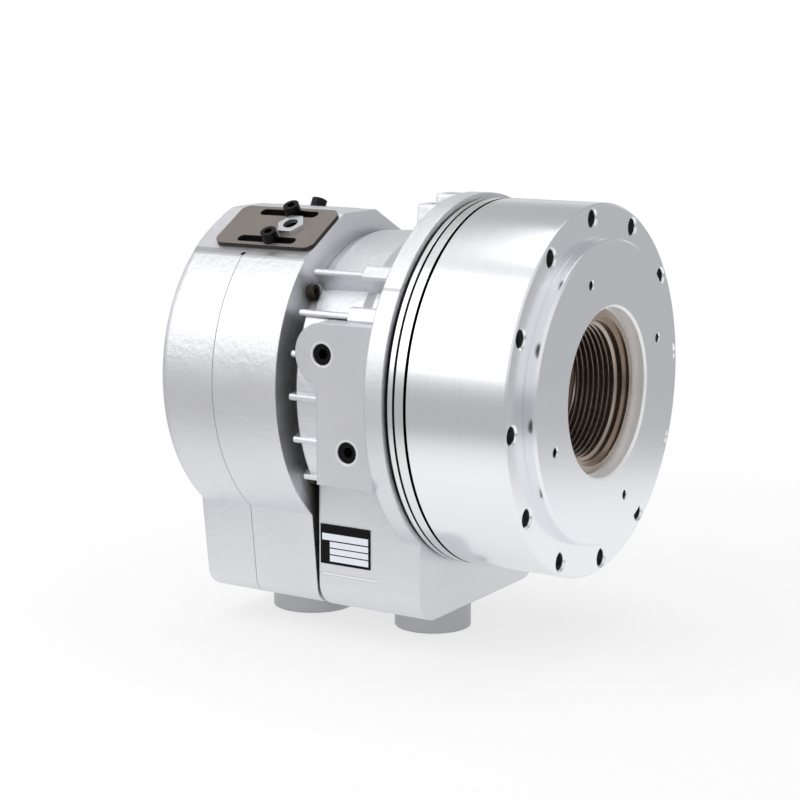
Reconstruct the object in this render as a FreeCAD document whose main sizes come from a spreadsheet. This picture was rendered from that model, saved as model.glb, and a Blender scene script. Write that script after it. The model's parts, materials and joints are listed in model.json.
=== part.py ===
"""Hydraulic rotary cylinder with a through bore, an oil distributor and a coolant collector.

The rotation axis is X and +X points to the mounting flange.  The origin is on the axis, in the
plane of the flange's mounting face.  +Z is up: the drains of both castings point down.
"""
import FreeCAD
import Part
import Sketcher
import os
from FreeCAD import Vector

DOC = FreeCAD.newDocument("rotary_cylinder")
SHEET = DOC.addObject("Spreadsheet::Sheet", "Sizes")

# Every driving size, in millimetres and degrees.  Positions along X are measured from the
# mounting face towards the rear, so a larger number lies further back.
SIZES = (
    # rotating cylinder
    ("drum_radius", 95.0),
    ("drum_length", 56.1),
    ("drum_edge", 1.0),
    ("shoulder_width", 17.3),
    ("spigot_height", 6.5),
    ("spigot_edge", 1.2),
    ("flange_hole_inset", 6.65),
    ("flange_hole_radius", 4.3),
    ("flange_hole_depth", 22.0),
    ("flange_hole_sink", 1.0),
    ("flange_hole_angle", 5.2),
    ("face_hole_pitch", 60.15),
    ("face_hole_radius", 2.3),
    ("face_hole_depth", 10.0),
    ("face_hole_sink", 0.5),
    ("face_hole_angle", 20.3),
    ("mouth_radius", 43.2),
    ("mouth_depth", 8.5),
    ("mouth_edge", 1.1),
    ("drum_wall", 20.0),
    ("chamber_end_play", 0.5),
    ("running_gap", 0.1),
    ("seal_gap", 0.15),
    ("seal_width", 3.0),
    ("seal_height", 3.0),
    # piston
    ("stroke", 22.0),
    ("piston_thickness", 22.0),
    ("rod_radius", 42.0),
    ("rod_recess", 7.0),
    ("rod_edge", 0.8),
    ("rod_lip_radius", 38.0),
    ("rod_lip_depth", 3.0),
    ("thread_radius", 35.9),
    ("thread_length", 30.0),
    ("passage_radius", 33.0),
    ("tube_radius", 37.0),
    ("tube_end", 190.0),
    # rear cover and stem
    ("cover_length", 9.9),
    ("cover_lip", 3.0),
    ("joint_groove_width", 1.5),
    ("joint_groove_depth", 2.0),
    ("cover_groove_offset", 5.4),
    ("cover_groove_width", 0.9),
    ("cover_groove_depth", 1.6),
    ("stem_radius", 47.5),
    ("stem_gap", 0.3),
    ("stem_end", 150.0),
    ("stem_edge", 1.0),
    ("cover_screw_inset", 11.0),
    ("cover_screw_radius", 3.0),
    ("cover_screw_grip", 14.0),
    ("cover_head_radius", 5.0),
    ("cover_head_height", 6.0),
    ("hole_gap", 0.05),
    ("pin_radius", 5.0),
    ("pin_offset", 3.5),
    ("pin_seat", 4.5),
    ("pin_angle", 65.3),
    ("pin_gap", 0.1),
    ("valve_radius", 4.5),
    ("valve_length", 24.0),
    ("valve_inset", 11.5),
    # bearings
    ("bearing_front", 76.0),
    ("bearing_width", 18.0),
    ("bearing_outer_radius", 65.0),
    ("ring_wall_share", 0.32),
    ("ball_share", 0.285714),
    ("race_gap", 0.05),
    ("cage_wall", 1.6),
    ("cage_width", 7.0),
    ("land_width", 16.0),
    ("land_gap", 0.1),
    ("oil_groove_width", 3.6),
    ("oil_groove_depth", 2.6),
    ("spacer_wall", 5.0),
    ("slinger_play", 3.0),
    ("slinger_width", 3.0),
    ("slinger_gap", 1.6),
    ("snap_ring_width", 2.0),
    ("snap_ring_height", 4.0),
    ("snap_ring_seat", 1.6),
    ("nut_share", 0.542857),
    ("nut_length", 8.0),
    ("nut_gap", 0.1),
    ("nut_slot_width", 6.0),
    ("nut_slot_depth", 3.0),
    ("coolant_slinger_radius", 64.0),
    ("coolant_slinger_width", 3.0),
    ("coolant_slinger_gap", 1.2),
    # distributor housing
    ("rotor_gap", 1.0),
    ("flange_radius", 97.3),
    ("flange_width", 11.0),
    ("body_wall", 10.0),
    ("root_height", 4.5),
    ("root_slope", 7.0),
    ("root_end", 93.0),
    ("shoulder_length", 9.0),
    ("body_end", 129.5),
    ("neck_step", 2.0),
    ("chamber_step", 4.0),
    ("saddle_height", 10.5),
    ("saddle_front", 78.0),
    ("saddle_end", 128.0),
    ("saddle_slope", 3.0),
    ("saddle_up", 38.0),
    ("saddle_low", 46.0),
    ("rib_top", 88.0),
    ("rib_thickness", 3.4),
    ("rib_draft", 1.6),
    ("rib_round", 0.9),
    ("rib_end", 128.0),
    ("rib_root_top", 90.5),
    ("rib_root_thickness", 9.0),
    ("rib_root_end", 97.0),
    ("pad_reach", 90.0),
    ("pad_depth", 35.0),
    ("pad_nose", 16.0),
    ("pad_foot", 18.0),
    ("pad_foot_rear", 18.0),
    ("port_pad_rear", 118.0),
    ("boss_length", 14.0),
    ("boss_top_width", 13.0),
    ("boss_draft", 4.0),
    ("side_boss_height", 92.3),
    ("side_boss_across", 18.0),
    ("top_boss_height", 96.4),
    ("boss_hole_radius", 2.1),
    ("boss_hole_depth", 9.0),
    ("plug_radius", 5.4),
    ("plug_depth", 1.2),
    ("plug_length", 9.0),
    ("plug_socket", 2.9),
    ("plug_a_along", 106.5),
    ("plug_a_up", 22.0),
    ("plug_b_along", 92.0),
    ("plug_b_up", -26.0),
    ("port_radius", 8.3),
    ("port_depth", 16.0),
    ("duct_radius", 2.6),
    ("sump_half_width", 61.0),
    ("sump_end", 130.0),
    ("sump_bottom", 118.0),
    ("sump_round", 14.0),
    ("sump_edge", 3.0),
    ("sump_top", 44.0),
    ("sump_wall", 7.0),
    ("drain_radius", 20.6),
    ("drain_bore", 14.5),
    ("drain_bottom", 136.0),
    ("drain_along", 96.5),
    ("plate_along", 97.0),
    ("plate_length", 30.5),
    ("plate_height", 21.0),
    ("plate_up", -93.0),
    ("plate_thickness", 0.5),
    # coolant collector
    ("collector_front", 134.5),
    ("collector_seam", 174.2),
    ("collector_rear", 209.4),
    ("collector_radius", 90.7),
    ("collector_wall", 6.0),
    ("collector_edge", 6.0),
    ("near_slope", 30.0),
    ("near_height", 88.0),
    ("far_slope", 27.0),
    ("far_height", 77.5),
    ("ridge_height", 85.5),
    ("basin_half_top", 58.8),
    ("basin_half_bottom", 53.0),
    ("basin_bottom", 119.0),
    ("basin_round", 10.0),
    ("basin_wall", 6.5),
    ("front_opening", 58.5),
    ("rear_opening", 41.0),
    ("socket_radius", 22.5),
    ("socket_along", 174.2),
    ("socket_spigot", 18.0),
    ("socket_bore", 14.5),
    ("join_screw_pitch", 77.0),
    ("join_screw_radius", 2.0),
    ("join_head_radius", 3.5),
    ("join_head_height", 4.0),
    ("join_boss_radius", 6.5),
    ("join_angle", 51.0),
    ("join_thread", 14.0),
    ("mount_screw_step", 3.8),
    ("mount_screw_radius", 2.0),
    ("mount_head_radius", 3.5),
    ("mount_head_height", 4.0),
    ("mount_thread", 10.0),
    # sensor plates
    ("cover_plate_thickness", 2.6),
    ("near_plate_middle", 165.5),
    ("far_plate_middle", 176.1),
    ("near_plate_across", 0.8),
    ("far_plate_across", -13.0),
    ("cover_plate_length", 61.5),
    ("cover_plate_width", 33.6),
    ("cover_plate_round", 5.0),
    ("slot_width", 5.6),
    ("slot_shift", 0.9),
    ("slot_length", 36.3),
    ("slot_spread", 11.9),
    ("plate_screw_radius", 2.5),
    ("plate_screw_grip", 7.5),
    ("plate_head_radius", 4.25),
    ("plate_head_height", 5.5),
    ("screw_shift", 3.9),
    ("sensor_shift", 9.7),
    ("sensor_hole", 4.0),
    ("sensor_nut_circle", 7.8),
    ("sensor_nut_height", 2.4),
    ("window_width", 11.0),
    ("window_length", 30.0),
    # stroke detection ring
    ("stroke_ring_front", 176.0),
    ("stroke_ring_width", 8.0),
    ("stroke_ring_radius", 57.0),
    ("stroke_ring_gap", 0.05),
    ("set_screw_radius", 2.5),
)


class Dim:
    """A size that knows its number and its formula in the sheet."""

    def __init__(self, value, text):
        self.value = float(value)
        self.text = text

    @staticmethod
    def of(item):
        if isinstance(item, Dim):
            return item
        return Dim(item, repr(float(item)))

    def __add__(self, other):
        other = Dim.of(other)
        return Dim(self.value + other.value, "(" + self.text + " + " + other.text + ")")

    __radd__ = __add__

    def __sub__(self, other):
        other = Dim.of(other)
        return Dim(self.value - other.value, "(" + self.text + " - " + other.text + ")")

    def __rsub__(self, other):
        return Dim.of(other) - self

    def __mul__(self, other):
        other = Dim.of(other)
        return Dim(self.value * other.value, "(" + self.text + " * " + other.text + ")")

    __rmul__ = __mul__

    def __truediv__(self, other):
        other = Dim.of(other)
        return Dim(self.value / other.value, "(" + self.text + " / " + other.text + ")")

    def __neg__(self):
        return Dim(-self.value, "(0 - " + self.text + ")")


class Sizes:
    """The sheet's cells, read by name."""


def fill_sheet():
    """Write the sizes to the sheet and return them as formulas."""
    sizes = Sizes()
    for row, (name, value) in enumerate(SIZES, start=1):
        SHEET.set("A%d" % row, name)
        SHEET.set("B%d" % row, str(value))
        SHEET.setAlias("B%d" % row, name)
        setattr(sizes, name, Dim(value, "Sizes." + name))
    DOC.recompute()
    return sizes


S = fill_sheet()
TURN_Y = FreeCAD.Rotation(Vector(0, 1, 0), 90)
ALONG_Y = FreeCAD.Rotation(Vector(1, 0, 0), -90)
UPRIGHT = FreeCAD.Rotation()


def bind(item, prop, size):
    """Give a property its value and, when it comes from the sheet, its formula."""
    size = Dim.of(size)
    if "Sizes." in size.text:
        item.setExpression(prop, size.text)
    elif "." not in prop:
        setattr(item, prop, size.value)


def place(item, at, rotation=UPRIGHT):
    """Put an object at a point given by sizes."""
    at = [Dim.of(c) for c in at]
    base = Vector(at[0].value, at[1].value, at[2].value)
    item.Placement = FreeCAD.Placement(base, rotation)
    for axis, size in zip("xyz", at):
        bind(item, "Placement.Base." + axis, size)
    return item


def cylinder(name, radius, height, at, rotation=TURN_Y):
    """A plain cylinder; as given it runs along +X from its point."""
    item = DOC.addObject("Part::Cylinder", name)
    bind(item, "Radius", radius)
    bind(item, "Height", height)
    return place(item, at, rotation)


def cone(name, radius_a, radius_b, height, at, rotation=TURN_Y):
    """A frustum; as given it runs along +X from its point."""
    item = DOC.addObject("Part::Cone", name)
    bind(item, "Radius1", radius_a)
    bind(item, "Radius2", radius_b)
    bind(item, "Height", height)
    return place(item, at, rotation)


def prism(name, circle, height, at, rotation=TURN_Y):
    """A hexagonal bar."""
    item = DOC.addObject("Part::Prism", name)
    item.Polygon = 6
    bind(item, "Circumradius", circle)
    bind(item, "Height", height)
    return place(item, at, rotation)


def box(name, size, at):
    """A box with its lowest corner at a point."""
    item = DOC.addObject("Part::Box", name)
    for prop, length in zip(("Length", "Width", "Height"), size):
        bind(item, prop, length)
    return place(item, at)


def turned_about_x(name, item, angle):
    """The same shape, turned about the rotation axis."""
    angle = Dim.of(angle)
    copy = DOC.addObject("Part::Compound", name)
    copy.Links = [item]
    copy.Placement = FreeCAD.Placement(Vector(), FreeCAD.Rotation(Vector(1, 0, 0), angle.value))
    if "Sizes." in angle.text:
        copy.setExpression("Placement.Rotation.Angle", angle.text)
    return copy


def ring(name, item, count, start):
    """Copies of a shape, spread evenly about the rotation axis."""
    copies = []
    for index in range(count):
        angle = Dim.of(start) + index * 360.0 / count
        copies.append(turned_about_x("%s_%d" % (name, index), item, angle))
    return copies


def together(name, items):
    """Separate solids kept as one group."""
    group = DOC.addObject("Part::Compound", name)
    group.Links = items
    return group


def fuse(name, items):
    """One solid from several."""
    joined = DOC.addObject("Part::MultiFuse", name)
    joined.Shapes = items
    joined.Refine = True
    return joined


def cut(name, base, tools):
    """A shape with others taken away."""
    result = DOC.addObject("Part::Cut", name)
    result.Base = base
    result.Tool = tools[0] if len(tools) == 1 else together(name + "_tools", tools)
    return result


def common(name, first, second):
    """What two shapes share."""
    result = DOC.addObject("Part::Common", name)
    result.Base = first
    result.Tool = second
    return result


def origin_plane(body, role):
    """One of a body's own origin planes."""
    for feature in body.Origin.OriginFeatures:
        if feature.Role == role:
            return feature
    raise RuntimeError("no plane " + role)


def outline(sketch, corners):
    """Close a chain of straight edges and tie every corner to the sheet."""
    corners = [(Dim.of(a), Dim.of(b)) for a, b in corners]
    count = len(corners)
    for index in range(count):
        a = corners[index]
        b = corners[(index + 1) % count]
        start = Vector(a[0].value, a[1].value, 0)
        end = Vector(b[0].value, b[1].value, 0)
        sketch.addGeometry(Part.LineSegment(start, end), False)
    for index in range(count):
        after = (index + 1) % count
        sketch.addConstraint(Sketcher.Constraint("Coincident", index, 2, after, 1))
    for index, corner in enumerate(corners):
        for kind, axis, size in (("DistanceX", -2, corner[0]), ("DistanceY", -1, corner[1])):
            if abs(size.value) < 1e-9:
                sketch.addConstraint(Sketcher.Constraint("PointOnObject", index, 1, axis))
                continue
            rule = Sketcher.Constraint(kind, -1, 1, index, 1, size.value)
            number = sketch.addConstraint(rule)
            if "Sizes." in size.text:
                sketch.setExpression("Constraints[%d]" % number, size.text)


def new_sketch(body, name, role):
    """A sketch on one of a body's own planes."""
    sketch = body.newObject("Sketcher::SketchObject", name)
    sketch.AttachmentSupport = [(origin_plane(body, role), "")]
    sketch.MapMode = "FlatFace"
    return sketch


def turned(name, corners):
    """A body of revolution about X from corners given as (distance back, radius)."""
    body = DOC.addObject("PartDesign::Body", name)
    sketch = new_sketch(body, name + "_section", "XZ_Plane")
    outline(sketch, [(-Dim.of(back), radius) for back, radius in corners])
    turn = body.newObject("PartDesign::Revolution", name + "_turn")
    turn.Profile = sketch
    turn.ReferenceAxis = (sketch, ["H_Axis"])
    turn.Angle = 360.0
    body.Tip = turn
    return body


def bored_ring(name, front, rear, inner, outer, edge=None):
    """A plain turned ring."""
    if edge is None:
        return turned(name, [(front, inner), (rear, inner), (rear, outer), (front, outer)])
    return turned(name, [(front, inner), (rear, inner), (rear, outer - edge),
                         (rear - edge, outer), (front + edge, outer), (front, outer - edge)])


def socket_screw(name, head_radius, head_height, shank_radius, shank_length, front):
    """A cap screw whose head's outer face looks forward along +X at a distance back."""
    head = cylinder(name + "_head", head_radius, head_height, (-(front + head_height), 0, 0))
    shank_at = (-(front + head_height + shank_length), 0, 0)
    shank = cylinder(name + "_shank", shank_radius, shank_length, shank_at)
    solid = fuse(name + "_blank", [head, shank])
    socket = prism(name + "_socket", shank_radius * 0.95, head_height * 0.55,
                   (-(front + head_height * 0.55), 0, 0))
    return cut(name + "_form", solid, [socket])


def at_radius(name, item, radius):
    """A shape moved out from the axis, upwards."""
    moved = DOC.addObject("Part::Compound", name)
    moved.Links = [item]
    return place(moved, (0, 0, radius))


def label(item, name):
    """Name a sub-part."""
    item.Label = name
    return item


# Planes that several pieces share, all as distances back from the mounting face.
COVER_FRONT = S.drum_length
COVER_REAR = S.drum_length + S.cover_length
CHAMBER_REAR = COVER_FRONT - S.cover_lip
CHAMBER_FRONT = CHAMBER_REAR - (S.piston_thickness + S.stroke + 2 * S.chamber_end_play)
PISTON_REAR = CHAMBER_REAR - S.chamber_end_play
PISTON_FRONT = PISTON_REAR - S.piston_thickness
ROD_FRONT = S.rod_recess - S.spigot_height
HOUSING_FRONT = COVER_REAR + S.rotor_gap
STEM_BORE = S.tube_radius + S.stem_gap
REAR_BEARING_FRONT = S.bearing_front + S.bearing_width + S.land_width
REAR_BEARING_REAR = REAR_BEARING_FRONT + S.bearing_width
PASSAGE = S.passage_radius
SPIGOT = S.drum_radius - S.shoulder_width
BORE = S.drum_radius - S.drum_wall
FLANGE_HOLE_PITCH = S.drum_radius - S.flange_hole_inset
COVER_SCREW_PITCH = S.drum_radius - S.cover_screw_inset
VALVE_PITCH = S.drum_radius - S.valve_inset
PIN_PITCH = (S.rod_radius + BORE) / 2 + S.pin_offset
BEARING_SECTION = S.bearing_outer_radius - S.stem_radius
RING_WALL = BEARING_SECTION * S.ring_wall_share
BALL = BEARING_SECTION * S.ball_share
NUT_RADIUS = S.stem_radius + BEARING_SECTION * S.nut_share
BODY = S.bearing_outer_radius + S.body_wall
ROOT = BODY + S.root_height
NECK = BODY - S.neck_step
CHAMBER = S.bearing_outer_radius + S.chamber_step
SLINGER = CHAMBER - S.slinger_play
MOUNT_SCREW_PITCH = S.bearing_outer_radius + S.mount_screw_step
PAD_TOP = S.plug_a_up + S.pad_nose
PAD_LOW = S.plug_b_up - S.pad_foot
SHELL_REACH = S.collector_radius * 1.4


def cylinder_body():
    """The turned drum with the mounting flange, the centring spigot and the piston's bore."""
    face = -S.spigot_height
    seal_front = CHAMBER_FRONT - 1.2 - S.seal_width
    groove = S.rod_radius + S.seal_height
    blank = turned("body_blank", [
        (face, S.mouth_radius + S.mouth_edge),
        (face + S.mouth_edge, S.mouth_radius),
        (face + S.mouth_depth, S.mouth_radius),
        (face + S.mouth_depth, S.rod_radius + S.running_gap),
        (seal_front, S.rod_radius + S.running_gap),
        (seal_front, groove),
        (seal_front + S.seal_width, groove),
        (seal_front + S.seal_width, S.rod_radius + S.running_gap),
        (CHAMBER_FRONT, S.rod_radius + S.running_gap),
        (CHAMBER_FRONT, BORE),
        (COVER_FRONT, BORE),
        (COVER_FRONT, S.drum_radius - S.joint_groove_depth),
        (COVER_FRONT - S.joint_groove_width, S.drum_radius - S.joint_groove_depth),
        (COVER_FRONT - S.joint_groove_width, S.drum_radius),
        (S.drum_edge, S.drum_radius),
        (0, S.drum_radius - S.drum_edge),
        (0, SPIGOT),
        (face + S.spigot_edge, SPIGOT),
        (face, SPIGOT - S.spigot_edge),
    ])
    hole = cylinder("flange_hole", S.flange_hole_radius, S.flange_hole_depth,
                    (-S.flange_hole_depth, 0, FLANGE_HOLE_PITCH))
    sink = cone("flange_sink", S.flange_hole_radius, S.flange_hole_radius + S.flange_hole_sink,
                S.flange_hole_sink, (-S.flange_hole_sink, 0, FLANGE_HOLE_PITCH))
    tools = ring("flange_holes", fuse("flange_drill", [hole, sink]), 12, S.flange_hole_angle)
    front_at = S.spigot_height - S.face_hole_depth
    hole = cylinder("face_hole", S.face_hole_radius, S.face_hole_depth,
                    (front_at, 0, S.face_hole_pitch))
    sink = cone("face_sink", S.face_hole_radius, S.face_hole_radius + S.face_hole_sink,
                S.face_hole_sink, (S.spigot_height - S.face_hole_sink, 0, S.face_hole_pitch))
    tools += ring("face_holes", fuse("face_drill", [hole, sink]), 4, S.face_hole_angle)
    hole = cylinder("body_tap", S.cover_screw_radius + S.hole_gap, S.cover_screw_grip + 1.0,
                    (-COVER_FRONT, 0, COVER_SCREW_PITCH))
    tools += ring("body_taps", hole, 12, 15.0)
    hole = cylinder("pin_seat_front", S.pin_radius + S.hole_gap, S.pin_seat,
                    (-CHAMBER_FRONT, 0, PIN_PITCH))
    tools += ring("pin_seats_front", hole, 4, S.pin_angle)
    hole = cylinder("valve_seat", S.valve_radius + S.hole_gap, S.valve_length,
                    (-COVER_FRONT, 0, VALVE_PITCH))
    tools += ring("valve_seats", hole, 2, 90.0)
    return label(cut("body_cut", blank, tools), "cylinder_body")


def rear_cover():
    """The cover that closes the bore, with the hollow stem that runs in the distributor."""
    lip_front = CHAMBER_REAR
    groove = COVER_FRONT + S.cover_groove_offset
    seal_front = S.stem_end - 4.0 - S.seal_width
    blank = turned("cover_blank", [
        (lip_front, STEM_BORE),
        (seal_front, STEM_BORE),
        (seal_front, STEM_BORE + S.seal_height),
        (seal_front + S.seal_width, STEM_BORE + S.seal_height),
        (seal_front + S.seal_width, STEM_BORE),
        (S.stem_end, STEM_BORE),
        (S.stem_end, S.stem_radius - S.stem_edge),
        (S.stem_end - S.stem_edge, S.stem_radius),
        (COVER_REAR, S.stem_radius),
        (COVER_REAR, S.drum_radius - S.drum_edge),
        (COVER_REAR - S.drum_edge, S.drum_radius),
        (groove + S.cover_groove_width, S.drum_radius),
        (groove + S.cover_groove_width, S.drum_radius - S.cover_groove_depth),
        (groove, S.drum_radius - S.cover_groove_depth),
        (groove, S.drum_radius),
        (COVER_FRONT, S.drum_radius),
        (COVER_FRONT, BORE - S.hole_gap),
        (lip_front, BORE - S.hole_gap),
    ])
    hole = cylinder("cover_hole", S.cover_screw_radius + S.hole_gap, S.cover_length,
                    (-COVER_REAR, 0, COVER_SCREW_PITCH))
    sink = cylinder("cover_sink", S.cover_head_radius + S.hole_gap * 4, S.cover_head_height + 0.3,
                    (-COVER_REAR, 0, COVER_SCREW_PITCH))
    tools = ring("cover_holes", fuse("cover_drill", [hole, sink]), 12, 15.0)
    hole = cylinder("pin_seat_rear", S.pin_radius + S.hole_gap, S.pin_seat,
                    (-(lip_front + S.pin_seat), 0, PIN_PITCH))
    tools += ring("pin_seats_rear", hole, 4, S.pin_angle)
    middle = (STEM_BORE + S.stem_radius) / 2
    first = S.bearing_front + S.bearing_width + 3.4 + S.oil_groove_width / 2
    second = first + S.oil_groove_width + 2.0
    for side, (name, along, angle) in enumerate((("near", first, 30.0), ("far", second, 210.0))):
        duct = cylinder("duct_" + name, S.duct_radius, along - lip_front + S.duct_radius,
                        (-(along + S.duct_radius), 0, middle))
        feed = cylinder("feed_" + name, S.duct_radius * 0.75, S.stem_radius - middle + 1.0,
                        (-along, 0, middle), UPRIGHT)
        tools.append(turned_about_x("oil_way_" + name, fuse("oil_" + name, [duct, feed]), angle))
    return label(cut("cover_cut", blank, tools), "rear_cover")


def cover_screws():
    """Twelve cap screws that hold the cover, with their heads sunk in its rear face."""
    head = cylinder("cover_screw_head", S.cover_head_radius, S.cover_head_height,
                    (-(COVER_REAR - 0.3), 0, 0))
    shank_rear = COVER_REAR - 0.3 - S.cover_head_height
    length = shank_rear - COVER_FRONT + S.cover_screw_grip
    shank = cylinder("cover_screw_shank", S.cover_screw_radius, length, (-shank_rear, 0, 0))
    socket = prism("cover_screw_socket", S.cover_screw_radius * 0.95, S.cover_head_height / 2,
                   (-(COVER_REAR - 0.3), 0, 0))
    form = cut("cover_screw_form", fuse("cover_screw_blank", [head, shank]), [socket])
    out = at_radius("cover_screw_out", form, COVER_SCREW_PITCH)
    return label(together("cover_screw_ring", ring("cover_screw", out, 12, 15.0)), "cover_screws")


def guide_pins():
    """Four pins from the front wall to the cover that stop the piston turning in the drum."""
    rear = CHAMBER_REAR + S.pin_seat
    length = rear - CHAMBER_FRONT + S.pin_seat
    pin = cylinder("pin", S.pin_radius, length, (-rear, 0, PIN_PITCH))
    return label(together("pin_ring", ring("guide_pin", pin, 4, S.pin_angle)), "guide_pins")


def check_valves():
    """Two pilot check valve cartridges in the drum's wall."""
    valve = cylinder("valve", S.valve_radius, S.valve_length, (-COVER_FRONT, 0, VALVE_PITCH))
    seat = cylinder("valve_way", S.duct_radius / 2, S.valve_length,
                    (-COVER_FRONT, 0, VALVE_PITCH))
    form = cut("valve_form", valve, [seat])
    group = together("valve_ring", ring("check_valve", form, 2, 90.0))
    return label(group, "check_valve_cartridges")


def piston():
    """The piston, turned in one with its threaded rod in front and its long tube behind."""
    seal_front = PISTON_FRONT + (S.piston_thickness - S.seal_width) / 2
    outer = BORE - S.running_gap
    thread_rear = ROD_FRONT + S.rod_lip_depth + S.thread_length
    blank = turned("piston_blank", [
        (ROD_FRONT, S.rod_lip_radius),
        (ROD_FRONT + S.rod_lip_depth, S.rod_lip_radius),
        (ROD_FRONT + S.rod_lip_depth, S.thread_radius),
        (thread_rear, S.thread_radius),
        (thread_rear, PASSAGE),
        (S.tube_end, PASSAGE),
        (S.tube_end, S.tube_radius),
        (PISTON_REAR, S.tube_radius),
        (PISTON_REAR, outer),
        (seal_front + S.seal_width, outer),
        (seal_front + S.seal_width, outer - S.seal_height),
        (seal_front, outer - S.seal_height),
        (seal_front, outer),
        (PISTON_FRONT, outer),
        (PISTON_FRONT, S.rod_radius),
        (ROD_FRONT + S.rod_edge, S.rod_radius),
        (ROD_FRONT, S.rod_radius - S.rod_edge),
    ])
    hole = cylinder("pin_way", S.pin_radius + S.pin_gap, S.piston_thickness,
                    (-PISTON_REAR, 0, PIN_PITCH))
    return label(cut("piston_cut", blank, ring("pin_ways", hole, 4, S.pin_angle)), "piston")


def seals():
    """Rings that seal the rod, the piston and the tube."""
    gap = S.hole_gap
    front = CHAMBER_FRONT - 1.2 - S.seal_width
    rod = bored_ring("rod_ring", front + gap, front + S.seal_width - gap,
                     S.rod_radius + S.seal_gap, S.rod_radius + S.seal_height - gap)
    front = PISTON_FRONT + (S.piston_thickness - S.seal_width) / 2
    outer = BORE - S.running_gap - S.seal_height
    head = bored_ring("piston_ring", front + gap, front + S.seal_width - gap,
                      outer + gap, BORE - S.seal_gap)
    front = S.stem_end - 4.0 - S.seal_width
    tube = bored_ring("tube_ring", front + gap, front + S.seal_width - gap,
                      S.tube_radius + S.seal_gap, STEM_BORE + S.seal_height - gap)
    return [label(rod, "rod_seal"), label(head, "piston_seal"), label(tube, "tube_seal")]


def oil_slinger():
    """The turned spacer between the cover and the front bearing, with its throwing rim."""
    outer = S.stem_radius + S.spacer_wall
    rim_front = HOUSING_FRONT + S.slinger_gap
    return label(turned("slinger_turn", [
        (COVER_REAR, S.stem_radius + S.hole_gap),
        (S.bearing_front, S.stem_radius + S.hole_gap),
        (S.bearing_front, outer),
        (rim_front + S.slinger_width, outer),
        (rim_front + S.slinger_width, SLINGER),
        (rim_front, SLINGER),
        (rim_front, outer),
        (COVER_REAR, outer),
    ]), "oil_slinger")


def race(name, front, inner, outer, groove_at_outer):
    """A bearing ring with the ball track turned into it."""
    middle = front + S.bearing_width / 2
    centre = (S.stem_radius + S.bearing_outer_radius) / 2
    blank = bored_ring(name + "_blank", front, front + S.bearing_width, inner, outer, 0.6)
    track = DOC.addObject("Part::Torus", name + "_track")
    bind(track, "Radius1", centre)
    bind(track, "Radius2", BALL + S.race_gap)
    place(track, (-middle, 0, 0), TURN_Y)
    return cut(name + "_cut", blank, [track])


def bearing(name, front):
    """One deep-groove ball bearing: two rings, a cage and its balls."""
    inner_top = S.stem_radius + RING_WALL
    outer_low = S.bearing_outer_radius - RING_WALL
    centre = (S.stem_radius + S.bearing_outer_radius) / 2
    middle = front + S.bearing_width / 2
    inner = race(name + "_inner", front, S.stem_radius + S.hole_gap, inner_top, False)
    outer = race(name + "_outer", front, outer_low, S.bearing_outer_radius - S.hole_gap, True)
    blank = bored_ring(name + "_cage_blank", middle - S.cage_width / 2, middle + S.cage_width / 2,
                       centre - S.cage_wall / 2, centre + S.cage_wall / 2)
    ball = DOC.addObject("Part::Sphere", name + "_ball")
    bind(ball, "Radius", BALL)
    place(ball, (-middle, 0, centre))
    balls = ring(name + "_balls", ball, 14, 0.0)
    caged = fuse(name + "_caged", [blank] + balls)
    return [label(inner, name + "_inner_ring"), label(outer, name + "_outer_ring"),
            label(caged, name + "_ball_cage")]


def retainers():
    """What keeps the bearings in place, and the ring that throws coolant off the stem."""
    front = REAR_BEARING_REAR
    snap = bored_ring("snap_turn", front + S.hole_gap, front + S.snap_ring_width,
                      S.bearing_outer_radius - S.snap_ring_height,
                      S.bearing_outer_radius + S.snap_ring_seat - S.hole_gap)
    gap = box("snap_gap", (S.snap_ring_width * 2, 9.0, S.snap_ring_height * 4),
              (-(front + S.snap_ring_width * 1.5), -4.5, S.bearing_outer_radius - 10.0))
    snap = cut("snap_cut", snap, [gap])
    nut_front = front + S.hole_gap
    nut = bored_ring("nut_turn", nut_front, nut_front + S.nut_length,
                     S.stem_radius + S.nut_gap, NUT_RADIUS, 0.8)
    slot = box("nut_slot", (S.nut_length + 2.0, S.nut_slot_width, S.nut_slot_depth + 1.0),
               (-(nut_front + S.nut_length + 1.0), -S.nut_slot_width / 2,
                NUT_RADIUS - S.nut_slot_depth))
    nut = cut("nut_cut", nut, ring("nut_slots", slot, 6, 0.0))
    wall_rear = S.collector_front + S.collector_wall
    disc_front = wall_rear + S.coolant_slinger_gap
    hub = S.stem_radius + 4.0
    disc = turned("disc_turn", [
        (nut_front + S.nut_length, S.stem_radius + S.hole_gap),
        (disc_front + S.coolant_slinger_width, S.stem_radius + S.hole_gap),
        (disc_front + S.coolant_slinger_width, S.coolant_slinger_radius),
        (disc_front, S.coolant_slinger_radius),
        (disc_front, hub),
        (nut_front + S.nut_length, hub),
    ])
    return [label(snap, "bearing_snap_ring"), label(nut, "bearing_lock_nut"),
            label(disc, "coolant_slinger")]


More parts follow.
